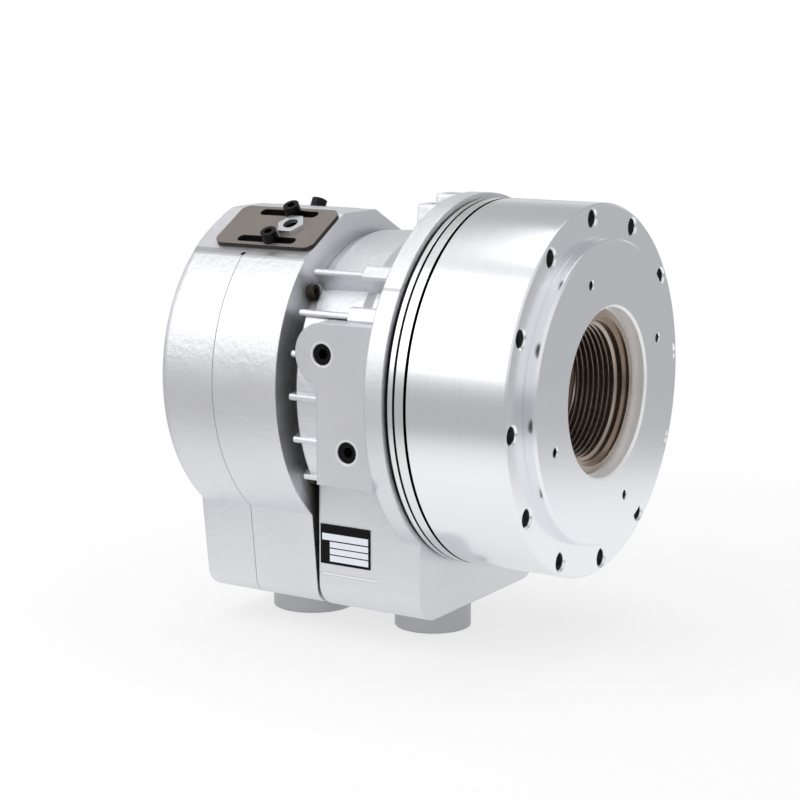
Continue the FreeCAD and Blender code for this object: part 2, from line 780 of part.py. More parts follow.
def stroke_ring():
    """The ring on the tube that the stroke sensors look at, with its three set screws."""
    rear = S.stroke_ring_front + S.stroke_ring_width
    bore = S.tube_radius + S.stroke_ring_gap
    disc = bored_ring("stroke_disc", S.stroke_ring_front, rear, bore, S.stroke_ring_radius, 0.8)
    middle = S.stroke_ring_front + S.stroke_ring_width / 2
    tap = cylinder("stroke_tap", S.set_screw_radius + S.hole_gap, S.stroke_ring_radius - bore + 2,
                   (-middle, 0, bore - 1.0), UPRIGHT)
    disc = cut("stroke_disc_cut", disc, ring("stroke_taps", tap, 3, 30.0))
    low = bore + S.hole_gap
    screw = cylinder("set_screw_bar", S.set_screw_radius, 10.0, (-middle, 0, low), UPRIGHT)
    socket = prism("set_screw_socket", S.set_screw_radius * 0.55, 2.5, (-middle, 0, low + 7.5),
                   UPRIGHT)
    form = cut("set_screw_form", screw, [socket])
    screws = together("set_screw_ring", ring("set_screw", form, 3, 30.0))
    return [label(disc, "stroke_ring"), label(screws, "stroke_ring_set_screws")]


def padded(name, role, corners, length):
    """A body padded from a straight-edged outline."""
    body = DOC.addObject("PartDesign::Body", name)
    sketch = new_sketch(body, name + "_outline", role)
    outline(sketch, corners)
    pad = body.newObject("PartDesign::Pad", name + "_pad")
    pad.Profile = sketch
    bind(pad, "Length", length)
    body.Tip = pad
    return body


def rounded(body, name, radius, pick):
    """Round the edges of a body's last feature that a test picks out."""
    DOC.recompute()
    base = body.Tip
    names = []
    for number, line in enumerate(base.Shape.Edges, start=1):
        if pick(line):
            names.append("Edge%d" % number)
    round_off = body.newObject("PartDesign::Fillet", name)
    round_off.Base = (base, names)
    bind(round_off, "Radius", radius)
    body.Tip = round_off
    return body


def along_x(line):
    """Whether an edge runs along X."""
    a = line.Vertexes[0].Point
    b = line.Vertexes[-1].Point
    return abs(a.y - b.y) < 0.01 and abs(a.z - b.z) < 0.01


def upright_edge(line):
    """Whether an edge runs straight up."""
    a = line.Vertexes[0].Point
    b = line.Vertexes[-1].Point
    return abs(a.z - b.z) > 0.5 and abs(a.x - b.x) < 0.01 and abs(a.y - b.y) < 0.01


def rear_edge(line):
    """Whether an edge lies in the plane a pad starts from, below its top side."""
    flat = all(abs(corner.X) < 0.01 for corner in line.Vertexes)
    level = all(corner.Z > -51.0 for corner in line.Vertexes)
    return flat and not level


def lower_edge(limit):
    """Picks the edges along X that lie below a height."""
    def pick(line):
        return along_x(line) and line.Vertexes[0].Point.z < limit
    return pick


def moved(name, item, at):
    """A shape shifted by sizes."""
    shifted = DOC.addObject("Part::Compound", name)
    shifted.Links = [item]
    return place(shifted, at)


def sump_block():
    """The oil sump under the distributor: a rounded box from the flange's front to the rear."""
    half = S.sump_half_width
    length = S.sump_end - HOUSING_FRONT
    block = padded("sump_body", "YZ_Plane", [
        (-half, -S.sump_top),
        (-half, -S.sump_bottom),
        (half, -S.sump_bottom),
        (half, -S.sump_top),
    ], length)
    rounded(block, "sump_corners", S.sump_round, lower_edge(-100.0))
    rounded(block, "sump_rear", S.sump_edge, rear_edge)
    return moved("sump_block", block, (-S.sump_end, 0, 0))


def side_pad(name, mirrored):
    """The flat machined pad on the distributor's side, rounded behind."""
    front = S.flange_width + HOUSING_FRONT - 1.0
    back = S.plug_a_along
    depth = S.pad_depth
    tall = S.pad_nose * 2
    upper = box(name + "_upper", (back - front, depth, tall), (-back, -S.pad_reach, PAD_TOP - tall))
    nose = cylinder(name + "_nose", S.pad_nose, depth, (-back, -S.pad_reach, S.plug_a_up),
                    ALONG_Y)
    foot_rear = S.plug_b_along + S.pad_foot_rear
    middle = box(name + "_middle", (foot_rear - front, depth, PAD_TOP - S.pad_nose - PAD_LOW),
                 (-foot_rear, -S.pad_reach, PAD_LOW))
    whole = fuse(name + "_whole", [upper, nose, middle])
    if not mirrored:
        return whole
    return turned_about_x(name + "_turned", whole, 180.0)


def drafted(name, top_width, top, low, draft, edge, length):
    """A cast bar along the axis, wider at its foot and with its two top edges broken."""
    half = top_width / 2
    return padded(name, "YZ_Plane", [
        (-(half + draft), low),
        (-half, top - edge),
        (-(half - edge), top),
        (half - edge, top),
        (half, top - edge),
        (half + draft, low),
    ], length)


def rib(name, angle, end, root):
    """One cooling and stiffening rib, thick at its root."""
    low = S.bearing_outer_radius - 3.0
    bar = moved(name + "_bar", drafted(name + "_bar_form", S.rib_thickness, S.rib_top, low,
                                       S.rib_draft, S.rib_round, S.rib_end - end),
                (-S.rib_end, 0, 0))
    if root:
        front = HOUSING_FRONT + S.flange_width - 1.0
        foot = moved(name + "_root",
                     drafted(name + "_root_form", S.rib_root_thickness, S.rib_root_top, low,
                             S.rib_draft, S.rib_round * 1.5, S.rib_root_end - front),
                     (-S.rib_root_end, 0, 0))
        solid = fuse(name + "_solid", [bar, foot])
    else:
        solid = bar
    return turned_about_x(name, solid, angle)


def saddle():
    """The raised band on both sides of the barrel that the side ribs and the pads stand on."""
    top = BODY + S.saddle_height
    band = turned("saddle_band", [
        (S.saddle_front, 0),
        (S.saddle_end, 0),
        (S.saddle_end, BODY),
        (S.saddle_end - S.saddle_slope, top),
        (S.saddle_front + S.saddle_slope, top),
        (S.saddle_front, BODY),
    ])
    layer = box("saddle_layer", (S.saddle_end, S.pad_reach * 2, S.saddle_up + S.saddle_low),
                (-(S.saddle_end + 20.0), -S.pad_reach, -S.saddle_low))
    return common("saddle", band, layer)


def top_bosses():
    """Three small bosses behind the flange on the barrel's top, each with a blind hole."""
    front = HOUSING_FRONT + S.flange_width - 1.0
    rear = front + S.boss_length
    low = S.bearing_outer_radius + 1.0
    bosses = []
    holes = []
    for name, height, across in (("boss_near", S.side_boss_height, -S.side_boss_across),
                                 ("boss_mid", S.top_boss_height, 0.0),
                                 ("boss_far", S.side_boss_height, S.side_boss_across)):
        form = drafted(name + "_form", S.boss_top_width, height, low, S.boss_draft, 1.2,
                       S.boss_length)
        bosses.append(moved(name, form, (-rear, across, 0)))
        holes.append(cylinder(name + "_hole", S.boss_hole_radius, S.boss_hole_depth,
                              (-(front + S.boss_length * 0.55), across,
                               height - S.boss_hole_depth), UPRIGHT))
    return bosses, holes


def distributor_housing():
    """The cast distributor: flange, ribbed barrel, machined pads, sump and drain boss."""
    front = HOUSING_FRONT
    rear = S.collector_front
    shoulder = front + S.flange_width
    barrel = turned("barrel", [
        (front, 0),
        (rear, 0),
        (rear, NECK),
        (S.body_end, NECK),
        (S.body_end, BODY - 1.0),
        (S.body_end - 1.0, BODY),
        (S.root_end + S.root_slope, BODY + 1.0),
        (S.root_end - 1.0, ROOT),
        (shoulder + S.shoulder_length, ROOT),
        (shoulder, ROOT + 6.0),
        (shoulder, S.flange_radius - 1.0),
        (shoulder - 1.0, S.flange_radius),
        (front, S.flange_radius),
    ])
    pieces = [barrel, sump_block(), saddle()]
    near = S.rib_root_end - 2.0
    for name, angle, end, root in (
            ("rib_c", 47.0, near, True), ("rib_d", 62.5, near, True),
            ("rib_n", 76.6, 112.0, False), ("rib_o", -76.6, 112.0, False),
            ("rib_e", 91.0, 108.0, False), ("rib_f", 106.0, 106.0, False),
            ("rib_g", 121.0, near, False),
            ("rib_i", -47.0, near, True),
            ("rib_j", -62.5, near, True), ("rib_k", -91.0, 108.0, False),
            ("rib_l", -106.0, 106.0, False), ("rib_m", -121.0, near, False)):
        pieces.append(rib(name, angle, end, root))
    bosses, boss_holes = top_bosses()
    pieces += bosses
    pieces.append(side_pad("near_pad", False))
    pieces.append(port_pad())
    pieces.append(cylinder("drain_boss", S.drain_radius, S.drain_bottom - S.sump_bottom + 20.0,
                           (-S.drain_along, 0, -S.drain_bottom), UPRIGHT))
    casting = fuse("casting", pieces)
    seat = S.bearing_outer_radius + S.hole_gap * 0
    land = S.stem_radius + S.land_gap
    groove = land + S.oil_groove_depth
    first = S.bearing_front + S.bearing_width + 3.4
    second = first + S.oil_groove_width + 2.0
    front_seat = S.bearing_front - 1.0
    snap_front = REAR_BEARING_REAR
    bore = turned("housing_bore", [
        (front - 1.0, 0),
        (front - 1.0, CHAMBER),
        (front_seat, CHAMBER),
        (front_seat, seat),
        (S.bearing_front + S.bearing_width, seat),
        (S.bearing_front + S.bearing_width, land),
        (first, land),
        (first, groove),
        (first + S.oil_groove_width, groove),
        (first + S.oil_groove_width, land),
        (second, land),
        (second, groove),
        (second + S.oil_groove_width, groove),
        (second + S.oil_groove_width, land),
        (REAR_BEARING_FRONT, land),
        (REAR_BEARING_FRONT, seat),
        (snap_front, seat),
        (snap_front, seat + S.snap_ring_seat),
        (snap_front + S.snap_ring_width + S.hole_gap, seat + S.snap_ring_seat),
        (snap_front + S.snap_ring_width + S.hole_gap, seat),
        (rear + 1.0, seat),
        (rear + 1.0, 0),
    ])
    tools = [bore] + boss_holes
    wall = S.sump_wall
    cavity = box("sump_cavity", (S.sump_end - front - 2 * wall, 2 * (S.sump_half_width - wall),
                                 S.sump_bottom - wall - S.bearing_outer_radius - 5.0),
                 (-(S.sump_end - wall), -(S.sump_half_width - wall), -(S.sump_bottom - wall)))
    tools.append(cavity)
    gutter = cylinder("gutter", 5.0, REAR_BEARING_REAR - front_seat,
                      (-REAR_BEARING_REAR, 0, -(S.bearing_outer_radius + 2.0)))
    tools.append(gutter)
    tools.append(cylinder("drain_hole", S.drain_bore, wall + S.drain_bottom - S.sump_bottom + 1.0,
                          (-S.drain_along, 0, -S.drain_bottom), UPRIGHT))
    for name, along, up in (("plug_a", S.plug_a_along, S.plug_a_up),
                            ("plug_b", S.plug_b_along, S.plug_b_up)):
        tools.append(cylinder(name + "_hole", S.plug_radius + S.hole_gap,
                              S.plug_depth + S.plug_length,
                              (-along, -S.pad_reach, up), ALONG_Y))
    for name, along, up in (("port_a", first + S.oil_groove_width / 2, S.plug_a_up),
                            ("port_b", second + S.oil_groove_width / 2, S.plug_b_up)):
        tools.append(cylinder(name + "_hole", S.port_radius, S.port_depth,
                              (-along, S.pad_reach - S.port_depth, up), ALONG_Y))
        tools.append(cylinder(name + "_way", S.duct_radius * 0.65, S.pad_reach - 20.0,
                              (-along, 20.0, up), ALONG_Y))
    hole = cylinder("neck_tap", S.mount_screw_radius + S.hole_gap, S.mount_thread + 1.0,
                    (-rear, 0, MOUNT_SCREW_PITCH))
    tools += ring("neck_taps", hole, 4, 45.0)
    return label(cut("housing_cut", casting, tools), "distributor_housing")


def port_pad():
    """The flat pad on the hidden side that carries the two pressure ports."""
    high = PAD_TOP + 2.0
    front = HOUSING_FRONT + S.flange_width - 1.0
    return box("port_pad", (S.port_pad_rear - front, S.pad_depth, high - PAD_LOW),
               (-S.port_pad_rear, S.pad_reach - S.pad_depth, PAD_LOW))


def port_plugs():
    """Two socket plugs that close the drillings in the near pad."""
    plugs = []
    for name, along, up in (("plug_one", S.plug_a_along, S.plug_a_up),
                            ("plug_two", S.plug_b_along, S.plug_b_up)):
        face = S.pad_reach - S.plug_depth
        bar = cylinder(name + "_bar", S.plug_radius, S.plug_length, (-along, -face, up), ALONG_Y)
        socket = prism(name + "_socket", S.plug_socket, S.plug_length * 0.55,
                       (-along, -face, up), ALONG_Y)
        plugs.append(cut(name, bar, [socket]))
    return label(together("plug_pair", plugs), "port_plugs")


def rating_plate():
    """The thin plate on the sump's near side, left blank."""
    plate = box("plate_sheet", (S.plate_length, S.plate_thickness, S.plate_height),
                (-(S.plate_along + S.plate_length), -(S.sump_half_width + S.plate_thickness),
                 S.plate_up))
    return label(plate, "rating_plate")


def slope_of(sign):
    """The angle and the height above the axis of one slope of the collector's roof."""
    if sign > 0:
        return S.near_slope * 1.0, S.near_height
    return S.far_slope * -1.0, S.far_height


def roof_cutter(name, height, angle):
    """What lies above one face of the collector's roof."""
    block = box(name + "_block", (S.collector_rear, SHELL_REACH * 2, S.collector_radius),
                (-(S.collector_rear + 20.0), -SHELL_REACH, height))
    return turned_about_x(name, block, angle)


def collector_outline(name, front, rear, radius, roof, inset, edge):
    """A slice of the collector: round, with two roof slopes, a ridge and a tapered basin."""
    disc = turned(name + "_disc", [(front, 0), (rear, 0), (rear, radius), (front, radius)])
    rim = -rear.value
    rounded(disc, name + "_rim", edge,
            lambda line: abs(line.BoundBox.XMin - rim) < 0.01 and line.BoundBox.XLength < 0.01
            and line.BoundBox.ZMax > 50.0)
    cutters = [roof_cutter(name + "_ridge", S.ridge_height - roof, S.near_slope * 0.0)]
    for side, sign in (("near", 1.0), ("far", -1.0)):
        angle, height = slope_of(sign)
        cutters.append(roof_cutter(name + "_%s_slope" % side, height - roof, angle))
    disc = cut(name + "_roofed", disc, cutters)
    top = S.basin_half_top - inset
    low = S.basin_half_bottom - inset
    bottom = S.basin_bottom - inset
    basin = padded(name + "_basin", "YZ_Plane", [
        (-top, -50.0),
        (-top, -69.0),
        (-low, -bottom),
        (low, -bottom),
        (top, -69.0),
        (top, -50.0),
    ], rear - front)
    rounded(basin, name + "_basin_corners", S.basin_round, lower_edge(-90.0))
    rounded(basin, name + "_basin_rear", edge, rear_edge)
    return fuse(name + "_whole", [disc, moved(name + "_basin_at", basin, (-rear, 0, 0))])


def collector_cavity():
    """The space inside the collector."""
    wall = S.collector_wall
    return collector_outline("cavity", S.collector_front + wall, S.collector_rear - wall,
                             S.collector_radius - wall, wall, S.basin_wall,
                             S.collector_edge / 2)


def join_columns():
    """The four columns inside the collector that the joining screws pass through."""
    wall = S.collector_wall
    column = cylinder("column", S.join_boss_radius,
                      S.collector_rear - S.collector_front - 2 * wall + 2.0,
                      (-(S.collector_rear - wall + 1.0), 0, S.join_screw_pitch))
    columns = []
    for index, sign in enumerate((1.0, -1.0)):
        columns.append(turned_about_x("column_top_%d" % index, column, S.join_angle * sign))
        low = 180.0 - S.join_angle
        columns.append(turned_about_x("column_low_%d" % index, column, low * sign))
    return columns


def collector():
    """The two halves of the coolant collector."""
    wall = S.collector_wall
    shell = collector_outline("shell", S.collector_front, S.collector_rear,
                              S.collector_radius, 0.0, 0.0, S.collector_edge)
    hollow = cut("shell_hollow", shell, [collector_cavity()])
    columns = common("columns_in", together("columns", join_columns()), shell)
    whole = fuse("collector_whole", [hollow, columns])
    tools = [cylinder("front_eye", S.front_opening, wall + 2.0, (-(S.collector_front + wall + 1.0),
                                                                 0, 0)),
             cylinder("rear_eye", S.rear_opening, wall + 2.0, (-(S.collector_rear + 1.0), 0, 0)),
             cylinder("socket_hole", S.socket_spigot + S.hole_gap, S.basin_wall + 2.0,
                      (-S.socket_along, 0, -(S.basin_bottom + 1.0)), UPRIGHT)]
    thread = S.collector_seam + S.join_thread
    length = thread - S.collector_front + 1.0
    hole = cylinder("join_hole", S.join_screw_radius + S.hole_gap, length + 1.0,
                    (-thread, 0, S.join_screw_pitch))
    low = 180.0 - S.join_angle
    for index, sign in enumerate((1.0, -1.0)):
        tools.append(turned_about_x("join_hole_top_%d" % index, hole, S.join_angle * sign))
        tools.append(turned_about_x("join_hole_low_%d" % index, hole, low * sign))
    hole = cylinder("mount_hole", S.mount_screw_radius + S.hole_gap, wall + 2.0,
                    (-(S.collector_front + wall + 1.0), 0, MOUNT_SCREW_PITCH))
    tools += ring("mount_holes", hole, 4, 45.0)
    for side, sign in (("near", 1.0), ("far", -1.0)):
        tools += roof_tools(side, sign)
    whole = cut("collector_cut", whole, tools)
    reach = S.basin_bottom + 30.0
    front_part = box("front_part", (S.collector_seam - S.collector_front + 1.0, SHELL_REACH * 2,
                                    reach * 2), (-S.collector_seam, -SHELL_REACH, -reach))
    rear_part = box("rear_part", (S.collector_rear - S.collector_seam + 1.0, SHELL_REACH * 2,
                                  reach * 2), (-(S.collector_rear + 1.0), -SHELL_REACH, -reach))
    front_half = common("front_half", whole, front_part)
    rear_half = common("rear_half", whole, rear_part)
    return [label(front_half, "collector_front_half"), label(rear_half, "collector_rear_half")]


def plate_lines(sign):
    """How far back a plate's middle, screws and sensor lie, and how far across its middle is."""
    middle = S.near_plate_middle if sign > 0 else S.far_plate_middle
    across = S.near_plate_across if sign > 0 else S.far_plate_across
    return (middle, middle - S.screw_shift * sign, middle - S.sensor_shift * sign,
            across * 1.0)


def roof_tools(side, sign):
    """The tapped holes and the sensor window in one slope of the roof."""
    angle, height = slope_of(sign)
    screw_line, along, across = plate_lines(sign)[1:]
    low = height - S.collector_wall - 4.0
    depth = S.collector_wall + 6.0
    tools = []
    for index, step in enumerate((1.0, -1.0)):
        tools.append(cylinder("%s_tap_%d" % (side, index), S.plate_screw_radius + S.hole_gap, depth,
                              (-screw_line, across + S.slot_spread * step, low), UPRIGHT))
    tools.append(box(side + "_window", (S.window_length, S.window_width, depth),
                     (-(along + S.window_length / 2), across - S.window_width / 2, low)))
    return [turned_about_x(side + "_roof_tools", together(side + "_tools_flat", tools), angle)]


def joining_screws():
    """Four long cap screws that clamp the two collector halves from the front."""
    head_front = S.collector_front - S.join_head_height
    length = S.collector_seam + S.join_thread - 1.0 - S.collector_front
    form = socket_screw("join", S.join_head_radius, S.join_head_height, S.join_screw_radius,
                        length, head_front)
    out = at_radius("join_out", form, S.join_screw_pitch)
    low = 180.0 - S.join_angle
    screws = []
    for index, sign in enumerate((1.0, -1.0)):
        screws.append(turned_about_x("join_top_%d" % index, out, S.join_angle * sign))
        screws.append(turned_about_x("join_low_%d" % index, out, low * sign))
    return label(together("join_screws", screws), "collector_joining_screws")


def mounting_screws():
    """Four cap screws, put in from inside the collector, that hold it to the distributor."""
    seat = S.collector_front + S.collector_wall
    head = cylinder("mount_head", S.mount_head_radius, S.mount_head_height,
                    (-(seat + S.mount_head_height), 0, 0))
    shank = cylinder("mount_shank", S.mount_screw_radius, S.collector_wall + S.mount_thread,
                     (-seat, 0, 0))
    socket = prism("mount_socket", S.mount_screw_radius * 0.95, S.mount_head_height / 2,
                   (-(seat + S.mount_head_height), 0, 0))
    form = cut("mount_form", fuse("mount_blank", [head, shank]), [socket])
    out = at_radius("mount_out", form, MOUNT_SCREW_PITCH)
    group = together("mount_ring", ring("mount_screw", out, 4, 45.0))
    return label(group, "collector_mounting_screws")


def drain_socket():
    """The turned socket under the collector's basin that a drain hose pushes on to."""
    flange = cylinder("socket_flange", S.socket_radius, S.drain_bottom - S.basin_bottom,
                      (-S.socket_along, 0, -S.drain_bottom), UPRIGHT)
    spigot = cylinder("socket_spigot_bar", S.socket_spigot,
                      S.drain_bottom - S.basin_bottom + S.basin_wall,
                      (-S.socket_along, 0, -S.drain_bottom), UPRIGHT)
    hole = cylinder("socket_way", S.socket_bore, S.drain_bottom,
                    (-S.socket_along, 0, -S.drain_bottom - 1.0), UPRIGHT)
    body = cut("socket_cut", fuse("socket_blank", [flange, spigot]), [hole])
    return label(body, "collector_drain_socket")


def sensor_plate(side, sign):
    """A slotted plate on one slope of the roof, its hexagonal sensor insert and its screws."""
    angle, low = slope_of(sign)
    plate_middle, screw_line, along, across = plate_lines(sign)
    rear = plate_middle + S.cover_plate_length / 2
    front = plate_middle - S.cover_plate_length / 2
    slot_rear = plate_middle - S.slot_shift * sign + S.slot_length / 2
    half = S.cover_plate_width / 2
    body = padded(side + "_sheet", "XY_Plane", [
        (-rear, across - half), (-front, across - half),
        (-front, across + half), (-rear, across + half),
    ], S.cover_plate_thickness)
    rounded(body, side + "_sheet_round", S.cover_plate_round, upright_edge)
    sheet = moved(side + "_sheet_up", body, (0, 0, low))
    tools = []
    for index, step in enumerate((1.0, -1.0)):
        middle = across + S.slot_spread * step
        straight = S.slot_length - S.slot_width
        end = slot_rear - S.slot_width / 2
        tag = "%s_slot_%d" % (side, index)
        tools.append(box(tag, (straight, S.slot_width, 8.0),
                         (-end, middle - S.slot_width / 2, low - 2.0)))
        tools.append(cylinder(tag + "_rear", S.slot_width / 2, 8.0, (-end, middle, low - 2.0),
                              UPRIGHT))
        tools.append(cylinder(tag + "_front", S.slot_width / 2, 8.0,
                              (straight - end, middle, low - 2.0), UPRIGHT))
    tools.append(cylinder(side + "_sensor_hole", S.sensor_hole + 0.5, 8.0,
                          (-along, across, low - 2.0), UPRIGHT))
    sheet = cut(side + "_sheet_cut", sheet, tools)
    plate = turned_about_x(side + "_sheet_tilted", sheet, angle)
    top = low + S.cover_plate_thickness
    nut = prism(side + "_nut_bar", S.sensor_nut_circle, S.sensor_nut_height,
                (-along, across, top), UPRIGHT)
    nut_hole = cylinder(side + "_nut_hole", S.sensor_hole, 8.0, (-along, across, low),
                        UPRIGHT)
    nut = turned_about_x(side + "_nut_tilted", cut(side + "_nut_cut", nut, [nut_hole]), angle)
    screws = []
    for index, step in enumerate((1.0, -1.0)):
        middle = across + S.slot_spread * step
        tag = "%s_screw_%d" % (side, index)
        shank = cylinder(tag + "_shank", S.plate_screw_radius,
                         S.cover_plate_thickness + S.plate_screw_grip,
                         (-screw_line, middle, low - S.plate_screw_grip), UPRIGHT)
        head = cylinder(tag + "_head", S.plate_head_radius, S.plate_head_height,
                        (-screw_line, middle, top), UPRIGHT)
        socket = prism(tag + "_socket", S.plate_screw_radius * 0.95, S.plate_head_height * 0.5,
                       (-screw_line, middle, top + S.plate_head_height * 0.5), UPRIGHT)
        screws.append(cut(tag, fuse(tag + "_blank", [head, shank]), [socket]))
    pair = turned_about_x(side + "_screws_tilted", together(side + "_screw_pair", screws), angle)
    return [label(plate, side + "_sensor_plate"), label(nut, side + "_sensor_nut"),
            label(pair, side + "_plate_screws")]


def build():
    """Make every sub-part and return them in order."""
    parts = [cylinder_body(), rear_cover(), cover_screws(), guide_pins(), check_valves(), piston()]
    parts += seals()
    parts.append(oil_slinger())
    parts += bearing("front_bearing", S.bearing_front)
    parts += bearing("rear_bearing", REAR_BEARING_FRONT)
    parts += retainers()
    parts += stroke_ring()
    parts += [distributor_housing(), port_plugs(), rating_plate()]
    parts += collector()
    parts += [joining_screws(), mounting_screws(), drain_socket()]
    parts += sensor_plate("near", 1.0)
    parts += sensor_plate("far", -1.0)
    return parts


def main():
    """Build, check and write the sub-parts."""
    parts = build()
    DOC.recompute()
    for item in DOC.Objects:
        if "Invalid" in item.State or "Error" in item.State:
            raise RuntimeError("failed: " + item.Label)
    for item in parts:
        if item.Shape.isNull() or not item.Shape.isValid():
            raise RuntimeError("bad shape: " + item.Label)
    os.makedirs("parts", exist_ok=True)
    for item in parts:
        item.Shape.exportStep("parts/" + item.Label + ".step")
        print("%-28s solids %2d volume %10.1f" % (item.Label, len(item.Shape.Solids),
                                                  item.Shape.Volume))


main()
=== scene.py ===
"""Looks of a hydraulic rotary cylinder: finishes, draw thread, small marks, painted shade and
highlights, light and camera.
"""

import json
import logging
import math
from dataclasses import dataclass
from enum import Enum

import bpy
import numpy as np
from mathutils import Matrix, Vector


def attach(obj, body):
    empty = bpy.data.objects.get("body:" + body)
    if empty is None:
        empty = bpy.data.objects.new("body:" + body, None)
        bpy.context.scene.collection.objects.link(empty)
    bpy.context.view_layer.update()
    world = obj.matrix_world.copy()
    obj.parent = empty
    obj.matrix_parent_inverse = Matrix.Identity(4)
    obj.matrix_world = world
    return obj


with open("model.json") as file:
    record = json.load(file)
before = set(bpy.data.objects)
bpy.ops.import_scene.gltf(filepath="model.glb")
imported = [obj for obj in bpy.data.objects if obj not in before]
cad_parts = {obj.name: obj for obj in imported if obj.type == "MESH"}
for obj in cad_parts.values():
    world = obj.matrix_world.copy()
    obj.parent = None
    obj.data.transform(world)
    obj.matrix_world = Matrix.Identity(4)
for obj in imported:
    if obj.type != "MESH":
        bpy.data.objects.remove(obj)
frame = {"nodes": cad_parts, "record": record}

LOG = logging.getLogger("rotary_cylinder")
Colour = tuple[float, float, float]
Point = tuple[float, float, float]
Tint = tuple[float, float, float, float]
Ramp = tuple[float, float]
DEEPEST = 0.25
CAST_REACH = 0.016
TURNED_REACH = 0.004
PARTING_HIGHLIGHT = (0.98, 0.98, 0.99, 1.0)
PLUG_RING_HIGHLIGHT = (0.97, 0.97, 0.98, 1.0)
MOUTH_HIGHLIGHT = (0.97, 0.975, 0.98, 1.0)
BROWN_HEAD = (0.085, 0.065, 0.055, 1.0)
BLACK_INK = (0.004, 0.004, 0.005, 1.0)


class Pattern(Enum):
    """How a surface was made, which decides its fine relief."""

    CAST = "cast"
    TURNED = "turned"
    ROD = "rod"
    SHEET = "sheet"
    BLACKENED = "blackened"
    PLAIN = "plain"
    LABEL = "label"


@dataclass(frozen=True)
class Band:
    """A stretch round a middle value, full within its reach and soft outside."""

    middle: float
    reach: float
    soft: float


@dataclass(frozen=True)
class Grain:
    """A layer of noise: waves in a metre, number of finer layers and their strength."""

    scale: float
    detail: float
    roughness: float


@dataclass(frozen=True)
class Finish:
    """The look of one material slot."""

    name: str
    colour: Colour
    metallic: float
    roughness: float
    pattern: Pattern
    relief: float = 0.0
    spread: float = 0.0
    corner: float = 0.0
    crevice: float = 0.0
    gloss: float = 0.5


@dataclass(frozen=True)
class Optics:
    """Where the photograph was taken from, in metres and millimetres of lens."""

    eye: Point = (0.45943, -0.91767, 0.18164)
    target: Point = (-0.1045, -0.0206, -0.0112)
    lens: float = 92.54
    sensor: float = 36.0


@dataclass(frozen=True)
class SoftBox:
    """One rectangular lamp of the studio."""

    name: str
    place: Point
    aim: Point
    width: float
    height: float
    power: float


@dataclass(frozen=True)
class StudioPlan:
    """Everything around the object."""

    floor: float = -0.1365
    near_floor: float = 0.25
    far_floor: float = 0.54
    floor_centre: tuple[float, float] = (0.0, 0.06)
    far_tone: float = 0.50
    half_width: float = 6.0
    floor_whites: tuple[Tint, Tint] = ((0.93, 0.93, 0.93, 1.0), (0.95, 0.95, 0.95, 1.0))
    floor_cloud: Grain = Grain(2.0, 1.0, 0.5)
    near_glow: float = 0.68
    room_level: float = 0.86
    low_share: float = 0.45
    low_fall: Ramp = (0.22, -0.05)
    back_share: float = 0.45
    back_rise: Ramp = (-0.10, 0.45)
    high_rise: Ramp = (0.10, 0.40)
    lamps: tuple[SoftBox, ...] = (
        SoftBox("lamp_left", (-1.00, -1.35, 1.22), (-0.1, 0.0, 0.0), 1.5, 1.9, 10.5),
        SoftBox("lamp_top", (-0.1, 0.25, 1.35), (-0.1, 0.0, 0.0), 1.2, 0.8, 5.0),
    )


@dataclass(frozen=True)
class Slope:
    """One slope of the collector's roof with its slotted plate, in metres and radians."""

    angle: float
    height: float
    slot_middle: float
    across: float
    slot_reach: float = 0.0119
    slot_half_length: float = 0.0184
    slot_half_width: float = 0.0032
    slot_depth: float = 0.0004
    sheet: float = 0.0026
    sheet_skin: float = 0.0003


@dataclass(frozen=True)
class Marks:
    """Where small marks, painted shade and painted highlights lie on the parts, in metres."""

    near: Slope = Slope(math.radians(30.0), 0.088, -0.1646, 0.0008)
    far: Slope = Slope(math.radians(-27.0), 0.0775, -0.1770, -0.0130)
    seam: Band = Band(-0.1742, 0.00012, 0.00010)
    seam_notch: Point = (-0.1742, -0.0622, 0.0655)
    notch_fall: Ramp = (0.0016, 0.0011)
    basin_bottom: float = -0.1188
    basin_fall: Ramp = (-0.1178, -0.1203)
    parting: Band = Band(-0.0985, 0.0004, 0.0003)
    parting_span: Band = Band(-0.110, 0.016, 0.003)
    sump_face: float = -0.0605
    lip: Band = Band(0.0, 0.0003, 0.0002)
    lip_across: float = -0.0178
    pad: float = -0.0898
    plugs: tuple[tuple[float, float], ...] = ((-0.1065, 0.022), (-0.092, -0.026))
    plug_ring: Band = Band(0.0063, 0.00030, 0.00020)
    grooves: tuple[Band, ...] = (Band(-0.05535, 0.00075, 0.00015),
                                 Band(-0.0615, 0.00042, 0.00015))
    drum_least: float = 0.085
    mouth_radius: float = 0.0445
    mouth_depth: float = -0.0021
    thread_depth: Ramp = (0.0348, 0.0356)
    thread_start: Ramp = (-0.0036, -0.0042)
    thread_end: float = -0.034
    joining_heads: Ramp = (-0.1346, -0.1290)
    joining_ring: Band = Band(0.077, 0.006, 0.001)
    label_along: Ramp = (-0.1275, -0.097)
    label_up: Ramp = (-0.093, -0.072)
    label_border: tuple[float, float, float, float] = (0.035, 0.965, 0.07, 0.77)
    label_margin: Ramp = (0.19, 0.57)
    label_lines: tuple[Band, ...] = (Band(0.585, 0.014, 0.004), Band(0.41, 0.012, 0.004),
                                     Band(0.24, 0.012, 0.004))


